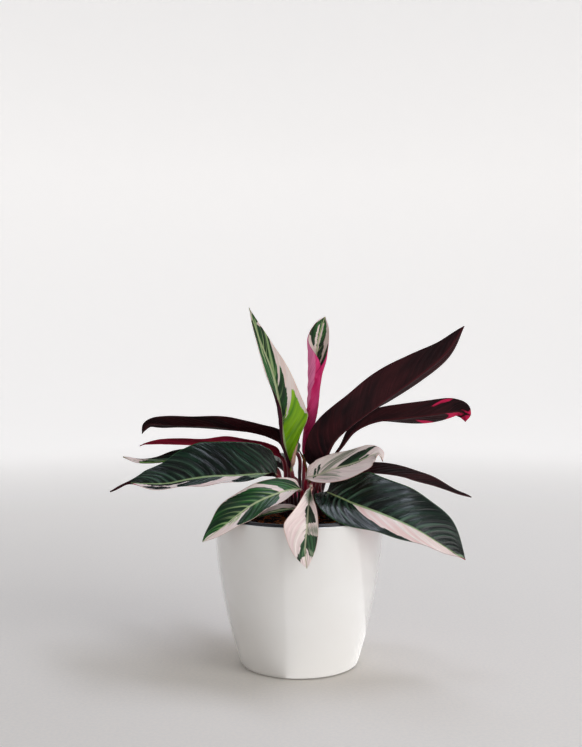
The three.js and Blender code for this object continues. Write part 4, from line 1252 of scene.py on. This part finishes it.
def blade_section(upper, t, pleat):
    """The blade's section at each t, over the top from the left margin and back underneath: the
    pleats, the groove over the midrib and the ridge under it. Margins are thin and rounded."""
    share, from_rib = upper["share"], upper["from_rib"]
    lift = upper["pleat"] * smoothstep(0, 0.2, share) * smoothstep(1, 0.7, share)
    lift = lift * pleat * smoothstep(1, 0.85, t)[:, None]
    groove = RIB_GROOVE * np.exp(-((from_rib / GROOVE_WIDTH) ** 2))
    groove = groove * smoothstep(0.05, 0.2, t)[:, None]
    depth = np.sqrt(np.clip(1 - share**6, MARGIN_SHARE, 1)) * BLADE_THICKNESS
    at_rib = (2 * STALK_NECK_RADIUS * (1 - np.sqrt(t)) + BLADE_THICKNESS * np.sqrt(t))[:, None]
    ridge = (at_rib - BLADE_THICKNESS) * np.exp(-((from_rib / RIB_WIDTH) ** 2))
    parts = []
    for way in ("x", "z"):
        top = upper[way] + (lift - groove) * upper["n" + way]
        bottom = upper[way] + (lift - depth - ridge) * upper["n" + way]
        parts.append(np.hstack([top, bottom[:, ::-1]]))
    return np.stack(parts, 2)


def whole_section(s, t, blade):
    """The sections of the whole leaf: the round stalk, its swollen joint and the blade that
    opens out of it."""
    sides = blade.shape[1]
    angle = math.pi - (np.arange(sides) + 0.5) * 2 * math.pi / sides
    circle = np.stack([np.cos(angle), np.sin(angle)], 1)
    tube = STALK_FOOT_RADIUS + (STALK_NECK_RADIUS - STALK_FOOT_RADIUS) * np.sqrt(s)
    swelling = smoothstep(1 - 2 * PULVINUS_LENGTH, 1 - PULVINUS_LENGTH, s)
    radius = tube + (PULVINUS_RADIUS - tube) * swelling
    opened = smoothstep(0, JOIN, t)[:, None, None]
    blade = PULVINUS_RADIUS * circle * (1 - opened) + blade * opened
    return np.concatenate([radius[:, None, None] * circle, blade])


def skin_fields(leaf, s, t, upper):
    """What the skins read at each point: its place among the side veins and on the blade, how
    far it lies inside each kind of mark, and the pleats."""
    keys = ("share", "from_rib", "signed", "vein", "pleat")
    around = {key: np.hstack([upper[key], upper[key][:, ::-1]]) for key in keys}
    sides = around["vein"].shape[1]
    blade = {key: value.ravel() for key, value in around.items()}
    blade["along"] = np.repeat(t, sides)
    blade["side"] = blade["share"]
    blade["reach"] = blade["from_rib"] * np.sign(blade["signed"])
    place = np.stack([blade["along"], blade["signed"]], 1)
    blade.update((kind, mark_field(leaf, kind, place)) for kind in MARK_KINDS)
    blade["cream"] = np.minimum(blade["cream"], -blade["green"])
    stalk = {
        "vein": np.repeat(s, sides) * STALK_PATTERN_LENGTH,
        "reach": np.tile(np.arange(sides) * STALK_PATTERN_GIRTH / sides, STALK_ROWS),
        "cream": -FAR_MARK, "milky": -FAR_MARK, "bright": -FAR_MARK,
        "along": np.repeat(s, sides) - 1, "side": 1, "from_rib": FAR_FROM_RIB, "pleat": 0,
    }
    count = STALK_ROWS * sides
    whole = {
        key: np.concatenate([np.broadcast_to(stalk[key], count), blade[key]]) for key in stalk
    }
    whole["seed"] = np.full(count + len(place), leaf["seed"] * PATTERN_GAP)
    fields = {
        name: np.stack([whole[part] for part in parts], 1) for name, parts in LEAF_FIELDS.items()
    }
    return {**fields, "pleat": whole["pleat"]}


def leaf_object(leaf, settings, materials):
    """One leaf with its stalk as a closed mesh. Its materials are the skins of the upper side,
    of the underside and of the stalk."""
    s, t, u = leaf_stations(leaf, settings.rows)
    upper = upper_side(leaf, t, settings.columns)
    section = whole_section(s, t, blade_section(upper, t, settings.pleat / MM))
    centre, right, up = path_frame(leaf, u, np.concatenate([np.zeros(STALK_ROWS), t]))
    points = (
        centre[:, None] + section[..., :1] * right[:, None] + section[..., 1:] * up[:, None]
    )
    fields = skin_fields(leaf, s, t, upper)

    rings, sides = points.shape[:2]
    skins = np.where(np.arange(sides) < sides // 2 - 1, 0, 1)
    indices = np.tile(skins, (rings - 1, 1))
    along = fields["blade_place"][:, 0].reshape(rings, sides)[:-1]
    indices[along > ROLLED_TIPS.get(leaf["name"], 1)] = 1
    indices[:STALK_ROWS] = 2
    indices = np.append(indices, [2, 0]).astype(np.int32)
    points = points.reshape(-1, 3) * MM
    faces = ring_faces(rings, sides)
    made = mesh_object(leaf["name"] + "_grown", points, faces, materials, indices)
    for name, values in fields.items():
        kind, part = ("FLOAT", "value") if values.ndim == 1 else ("FLOAT_VECTOR", "vector")
        field = made.data.attributes.new(name, kind, "POINT")
        field.data.foreach_set(part, values.astype(np.float32).ravel())
    return made


def bract_object(name, path, material):
    """One dry stalk as a closed mesh: thickest at its foot, with a withered tip."""
    u = np.linspace(0, 1, BRACT_STEPS)
    radii = along_list(BRACT_TAPER, u) * BRACT_RADIUS
    points = tube_points(spline(path, u), radii, BRACT_ASIDE, BRACT_SIDES)
    return mesh_object(name, points * MM, ring_faces(BRACT_STEPS, BRACT_SIDES), [material])


# Planter, liner and mix


def planter_profile():
    """The planter's section, from the middle of its underside over the lip to its floor."""
    foot = BASE_RADIUS - FOOT_INSET
    lip_base = PLANTER_HEIGHT - LIP_RADIUS
    lip = [
        (RIM_RADIUS - LIP_RADIUS + LIP_RADIUS * math.cos(a), lip_base + LIP_RADIUS * math.sin(a))
        for a in np.linspace(0, math.pi, LIP_STEPS)
    ]
    return [
        (0, 0), (foot - FOOT_BEVEL, 0), (foot, FOOT_EDGE), (foot, FOOT_HEIGHT - FOOT_EDGE),
        (foot + FOOT_EDGE, FOOT_HEIGHT), (outer_radius(FOOT_HEIGHT) - WALL_EDGE, FOOT_HEIGHT),
        *wall_profile(0, FOOT_HEIGHT + WALL_EDGE, lip_base, OUTER_STEPS)[:-1],
        *lip,
        *wall_profile(WALL, FLOOR, lip_base, INNER_STEPS)[:-1][::-1],
        (0, FLOOR),
    ]


def liner_profile():
    """The liner's section, with the bead that stiffens its rim."""
    outside = WALL + LINER_GAP
    inside = outside + LINER_WALL
    low = LINER_FLOOR_TOP - LINER_WALL
    bead_low = LINER_TOP - LINER_BEAD_HEIGHT
    top_out = outer_radius(LINER_TOP) - outside
    top_in = top_out - LINER_BEAD
    low_in = outer_radius(bead_low) - outside - LINER_BEAD
    bead = [
        (top_out - BEAD_EDGE, LINER_TOP), (top_in + BEAD_EDGE, LINER_TOP),
        (top_in, LINER_TOP - BEAD_EDGE), (low_in, bead_low + BEAD_STEP),
        (low_in + BEAD_STEP, bead_low),
    ]
    return [
        (0, low),
        *wall_profile(outside, low, LINER_TOP - BEAD_EDGE, LINER_OUTER_STEPS),
        *bead,
        *wall_profile(inside, LINER_FLOOR_TOP, bead_low, LINER_INNER_STEPS)[::-1],
        (0, LINER_FLOOR_TOP),
    ]


def mix_top(x, y):
    """The height of the mix's lumpy top over a place, by the CAD part's formula."""
    coarse = np.sin(x * 0.11 + 1.3) * np.cos(y * 0.13)
    fine = np.sin(x * 0.31 + y * 0.17) * np.cos(y * 0.29 - x * 0.12)
    return MIX_TOP + MIX_LUMPS * (0.6 * coarse + 0.4 * fine)


def mix_object(material):
    """The potting mix: a closed body whose top has the CAD part's lumps and finer crumbs."""
    inset = WALL + LINER_GAP + LINER_WALL + MIX_GAP
    edge = MIX_TOP - 2 * MIX_LUMPS
    angles = np.arange(MIX_SEGMENTS) * 2 * math.pi / MIX_SEGMENTS
    draw = np.random.default_rng(MIX_SEED)
    wall = wall_profile(inset, LINER_FLOOR_TOP + TOUCH_GAP, edge, MIX_WALL_STEPS)
    points = [(r * math.cos(a), r * math.sin(a), height) for r, height in wall for a in angles]
    rim = outer_radius(edge) - inset
    for k in range(1, MIX_RINGS):
        radius = rim * (1 - k / MIX_RINGS)
        x, y = radius * np.cos(angles), radius * np.sin(angles)
        crumbs = draw.uniform(-CRUMB_RELIEF, CRUMB_RELIEF, MIX_SEGMENTS)
        crumbs = crumbs * min(1, k / MIX_EDGE_RINGS)
        z = edge + (mix_top(x, y) - edge) * smoothstep(0, MIX_EDGE_RINGS, k) + crumbs
        points += list(zip(x, y, z))
    faces = ring_faces(len(points) // MIX_SEGMENTS, MIX_SEGMENTS)
    return mesh_object("potting_mix_crumbled", np.array(points) * MM, faces, [material])


def lump(draw, size, flat):
    """The points and faces of one irregular crumb or chip about the origin."""
    points = []
    sides = 7
    heights = (-0.75, 0.0, 0.75)
    for k, height in enumerate(heights):
        girth = math.sqrt(1 - height**2)
        for j in range(sides):
            a = 2 * math.pi * (j + 0.5 * (k % 2)) / sides
            rough = draw.uniform(0.75, 1.15)
            points.append((girth * rough * math.cos(a), girth * rough * math.sin(a) * 0.7, height))
    points = np.array(points) * (size, size * draw.uniform(0.6, 1.0), size * flat)
    tilt = draw.uniform(-0.5, 0.5, 2)[0]
    turn = draw.uniform(0, 2 * math.pi)
    cz, sz, cx, sx = math.cos(turn), math.sin(turn), math.cos(tilt), math.sin(tilt)
    spin = np.array([[cz, -sz, 0], [sz, cz, 0], [0, 0, 1]])
    lean = np.array([[1, 0, 0], [0, cx, -sx], [0, sx, cx]])
    return points @ (spin @ lean).T, ring_faces(len(heights), sides)


def random_place(draw, radii):
    """A place on the mix between two radii, anywhere on it alike."""
    distance = math.sqrt(draw.uniform(radii[0] ** 2, radii[1] ** 2))
    a = draw.uniform(0, 2 * math.pi)
    return np.array([distance * math.cos(a), distance * math.sin(a)])


def scattered(name, draw, count, kind, material, radii):
    """Many crumbs or chips that lie on the mix, as one mesh."""
    bodies = []
    for _ in range(count):
        size = draw.uniform(*kind["sizes"])
        points, faces = lump(draw, size, kind["flat"])
        x, y = random_place(draw, radii)
        bodies.append((points + (x, y, mix_top(x, y) + 0.25 * size), faces))
    points, faces = joined(bodies)
    return mesh_object(name, points * MM, faces, [material], smooth=False)


def fibre(draw, radii):
    """The points and faces of one curved fibre that arches over the mix."""
    start = random_place(draw, radii)
    heading = draw.uniform(0, 2 * math.pi)
    length = draw.uniform(*FIBRE_LENGTHS)
    bend = draw.uniform(-FIBRE_BEND, FIBRE_BEND)
    arch = draw.uniform(*FIBRE_ARCHES)
    path = []
    for share in np.linspace(0, 1, 6):
        turn = heading + bend * share
        place = start + length * share * np.array([math.cos(turn), math.sin(turn)]) * 0.7
        place *= min(1, radii[1] / np.hypot(*place))
        path.append((*place, mix_top(*place) + 0.6 + arch * math.sin(math.pi * share)))
    u = np.linspace(0, 1, FIBRE_STEPS)
    thick = draw.uniform(*FIBRE_RADII) * np.sin(np.pi * (0.12 + 0.76 * u))
    points = tube_points(spline(path, u), thick, (0, 0, 1), FIBRE_SIDES)
    return points, ring_faces(FIBRE_STEPS, FIBRE_SIDES)


def fibres(name, draw, count, material, radii):
    """Loose coir fibres that lie on the mix, as one mesh."""
    points, faces = joined([fibre(draw, radii) for _ in range(count)])
    return mesh_object(name, points * MM, faces, [material])


# Studio


def soft_box(name, place, target, size, colour, turn, power):
    """A soft box that faces a point, turned this many degrees about the way it looks."""
    lamp = bpy.data.lights.new(name, "AREA")
    lamp.shape = "RECTANGLE"
    lamp.size, lamp.size_y = size
    lamp.energy = power
    lamp.color = linear(colour)[:3]
    made = bpy.data.objects.new(name, lamp)
    made.location = place
    aim = (Vector(target) - Vector(place)).to_track_quat("-Z", "Y")
    made.rotation_euler = (aim @ Quaternion((0, 0, 1), math.radians(turn))).to_euler()
    made.visible_camera = False
    bpy.context.scene.collection.objects.link(made)


def backdrop(settings):
    """A floor that sweeps up into a wall all round, so that no edge shows from any side."""
    segments = 96
    profile = [(0.0, 0.0), (FLOOR_RADIUS / 2, 0.0), (FLOOR_RADIUS, 0.0)]
    profile += [
        (FLOOR_RADIUS + SWEEP * math.sin(a), SWEEP * (1 - math.cos(a)))
        for a in np.linspace(0, math.pi / 2, 14)[1:]
    ]
    profile.append((FLOOR_RADIUS + SWEEP, WALL_TOP))
    angles = np.arange(segments) * 2 * math.pi / segments
    rings = profile[1:]
    points = [(r * math.cos(a), r * math.sin(a), z) for r, z in rings for a in angles]
    faces = [face[::-1] for face in ring_faces(len(rings), segments, closed_ends=False)]
    points.append((0, 0, 0))
    faces += [[len(points) - 1, j, (j + 1) % segments] for j in range(segments)]
    return mesh_object("studio_sweep", points, faces, [backdrop_material(settings)])


# Settings that a user would change


class PlanterSettings(bpy.types.PropertyGroup):
    """The planter, its liner and the mix."""

    planter_colour: FloatVectorProperty(
        name="Planter colour", description="The lacquer of the planter",
        subtype="COLOR", size=3, min=0, max=1, default=linear("#e6e5e3")[:3],
    )
    liner_colour: FloatVectorProperty(
        name="Liner colour", description="The plastic of the liner",
        subtype="COLOR", size=3, min=0, max=1, default=linear("#0b0c12")[:3],
    )
    crumbs: IntProperty(
        name="Crumbs", description="How many peat crumbs lie on the mix", default=900, min=0
    )
    fibres: IntProperty(
        name="Fibres", description="How many coir fibres lie on the mix", default=240, min=0
    )


class LeafSettings(bpy.types.PropertyGroup):
    """The leaves and their stalks."""

    rows: IntProperty(
        name="Rows", description="Rings of points along each blade", default=150, min=24
    )
    columns: IntProperty(
        name="Columns", description="Points across each half of a blade", default=20, min=4
    )
    cream_colour: FloatVectorProperty(
        name="Cream colour", description="Where a blade holds no green",
        subtype="COLOR", size=3, min=0, max=1, default=linear("#fdf0eb")[:3],
    )
    pleat: FloatProperty(
        name="Pleat height", description="How far the side veins raise the blade",
        default=0.4 * MM, min=0, unit="LENGTH", precision=5,
    )


class StudioSettings(bpy.types.PropertyGroup):
    """The backdrop and the lights."""

    backdrop_colour: FloatVectorProperty(
        name="Backdrop colour", description="The paint of the studio board",
        subtype="COLOR", size=3, min=0, max=1, default=linear("#ebe6df")[:3],
    )
    # Painted light: the wall glows by its own emission, which stands in for a board lit from behind.
    wall_glow: FloatProperty(
        name="Wall glow", description="How far the wall is lit from behind", default=0.45, min=0,
        subtype="FACTOR",
    )
    air: FloatProperty(
        name="Air", description="Strength of the even light from all round", default=0.17, min=0,
        subtype="FACTOR",
    )
    key_power: FloatProperty(
        name="Key light", description="Power of the large soft box", default=15.0, min=0,
        unit="POWER",
    )
    fill_power: FloatProperty(
        name="Fill light", description="Power of the box on the other side", default=1.6,
        min=0, unit="POWER",
    )
    top_power: FloatProperty(
        name="Top light", description="Power of the box overhead", default=13.0, min=0,
        unit="POWER",
    )
    low_power: FloatProperty(
        name="Low light", description="Power of the box that lies on the floor in front",
        default=2.2, min=0, unit="POWER",
    )


# Operators


class STROMANTHE_OT_planter(bpy.types.Operator):
    """Build the glossy planter"""

    bl_idname = "stromanthe.planter"
    bl_label = "Planter"

    def execute(self, context):
        """Turns the shell's section finely enough for clean reflections."""
        material = planter_material(context.scene.stromanthe_planter)
        shell = turned("planter_lacquered", planter_profile(), PLANTER_SEGMENTS, material)
        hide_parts("planter_shell")
        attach(shell, "root")
        return {"FINISHED"}


class STROMANTHE_OT_liner(bpy.types.Operator):
    """Build the black liner that stands in the planter"""

    bl_idname = "stromanthe.liner"
    bl_label = "Liner"

    def execute(self, context):
        """Turns the liner's section with its rounded bead."""
        material = liner_material(context.scene.stromanthe_planter)
        liner = turned("liner_moulded", liner_profile(), LINER_SEGMENTS, material)
        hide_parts("liner_pot")
        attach(liner, "root")
        return {"FINISHED"}


class STROMANTHE_OT_mix(bpy.types.Operator):
    """Fill the liner with potting mix, crumbs, bark and coir"""

    bl_idname = "stromanthe.mix"
    bl_label = "Potting mix"

    def execute(self, context):
        """Builds the body of the mix and what lies loose on it."""
        settings = context.scene.stromanthe_planter
        draw = np.random.default_rng(LOOSE_SEED)
        peat = peat_material()
        bark = bark_material("composted_pine_bark", "#2e150a", "#8a4a1c", BARK_LINES)
        coir = bark_material("coir_fibre", "#5a260b", "#c06a28", COIR_LINES)
        body = mix_object(peat)
        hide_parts("potting_mix")
        rim = outer_radius(MIX_TOP) - WALL - LINER_GAP - LINER_WALL - LINER_BEAD
        loose = [
            scattered("peat_crumbs", draw, settings.crumbs, CRUMBS, peat, (0, rim)),
            scattered("bark_chips", draw, CHIP_COUNT, CHIPS, bark, (CHIPS_FROM, rim)),
            fibres("coir_fibres", draw, settings.fibres, coir, (FIBRES_FROM, rim)),
        ]
        for made in [body, *loose]:
            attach(made, "root")
        return {"FINISHED"}


class STROMANTHE_OT_leaves(bpy.types.Operator):
    """Grow every leaf with its stalk and markings"""

    bl_idname = "stromanthe.leaves"
    bl_label = "Leaves"

    def execute(self, context):
        """Builds each leaf in the place of its CAD solid."""
        settings = context.scene.stromanthe_leaves
        uppers = {kind: upper_material(kind, settings) for kind in UPPER_LOOKS}
        unders = {kind: under_material(kind) for kind in UNDER_LOOKS}
        stalks = {kind: stalk_material(kind) for kind in STALK_LOOKS}
        for seed, leaf in enumerate(LEAVES):
            slot, upper, under, stalk = FINISHES[leaf["name"]]
            skins = [uppers[upper], unders[under], stalks[stalk]]
            made = leaf_object({**leaf, "seed": seed}, settings, skins)
            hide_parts(leaf["name"])
            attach(made, "root")
        return {"FINISHED"}


class STROMANTHE_OT_bracts(bpy.types.Operator):
    """Build the dry stalks of spent bracts"""

    bl_idname = "stromanthe.bracts"
    bl_label = "Dry stalks"

    def execute(self, context):
        """Builds each dry stalk in the place of its CAD solid."""
        material = bract_material()
        for name, path in BRACTS.items():
            made = bract_object(name + "_dried", path, material)
            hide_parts(name)
            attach(made, "root")
        return {"FINISHED"}


class STROMANTHE_OT_studio(bpy.types.Operator):
    """Set the backdrop, the lights and the camera"""

    bl_idname = "stromanthe.studio"
    bl_label = "Studio"

    def execute(self, context):
        """Builds a plain pale studio and puts the camera at the photograph's angle."""
        scene = context.scene
        settings = scene.stromanthe_studio
        backdrop(settings)
        for name, box in SOFT_BOXES.items():
            soft_box(name + "_box", *box, getattr(settings, name + "_power"))
        world = bpy.data.worlds.new("studio_air")
        world.use_nodes = True
        world.node_tree.nodes["Background"].inputs[0].default_value = linear("#f4f4f3")
        world.node_tree.nodes["Background"].inputs[1].default_value = settings.air
        scene.world = world
        scene.view_settings.view_transform = "Standard"
        camera = bpy.data.cameras.new("studio_camera")
        camera.lens = CAMERA_LENS
        camera.sensor_width = SENSOR
        camera.clip_start, camera.clip_end = 0.05, 20
        made = bpy.data.objects.new("studio_camera", camera)
        made.location = CAMERA_PLACE
        made.rotation_euler = (math.radians(90 - CAMERA_DROP), 0, 0)
        scene.collection.objects.link(made)
        scene.camera = made
        return {"FINISHED"}


OPERATORS = (
    STROMANTHE_OT_planter,
    STROMANTHE_OT_liner,
    STROMANTHE_OT_mix,
    STROMANTHE_OT_leaves,
    STROMANTHE_OT_bracts,
    STROMANTHE_OT_studio,
)


class STROMANTHE_PT_panel(bpy.types.Panel):
    """The pieces and their settings"""

    bl_idname = "STROMANTHE_PT_panel"
    bl_label = "Potted stromanthe"
    bl_space_type = "VIEW_3D"
    bl_region_type = "UI"
    bl_category = "Stromanthe"

    def draw(self, context):
        """Lists the settings and a button for each piece."""
        for group in ("stromanthe_planter", "stromanthe_leaves", "stromanthe_studio"):
            box = self.layout.box()
            settings = getattr(context.scene, group)
            for key in settings.bl_rna.properties.keys():
                if key not in ("rna_type", "name"):
                    box.prop(settings, key)
        for operator in OPERATORS:
            self.layout.operator(operator.bl_idname)


GROUPS = {
    "stromanthe_planter": PlanterSettings,
    "stromanthe_leaves": LeafSettings,
    "stromanthe_studio": StudioSettings,
}


def register():
    """Registers the classes and puts the settings on the scene."""
    for item in (*GROUPS.values(), *OPERATORS, STROMANTHE_PT_panel):
        bpy.utils.register_class(item)
    for name, group in GROUPS.items():
        setattr(bpy.types.Scene, name, PointerProperty(type=group))


def unregister():
    """Takes the settings off the scene and unregisters the classes."""
    for name in GROUPS:
        delattr(bpy.types.Scene, name)
    for item in reversed((*GROUPS.values(), *OPERATORS, STROMANTHE_PT_panel)):
        bpy.utils.unregister_class(item)


def main():
    """Builds everything."""
    register()
    bpy.ops.stromanthe.planter()
    bpy.ops.stromanthe.liner()
    bpy.ops.stromanthe.mix()
    bpy.ops.stromanthe.leaves()
    bpy.ops.stromanthe.bracts()
    bpy.ops.stromanthe.studio()


if __name__ == "__main__":
    main()
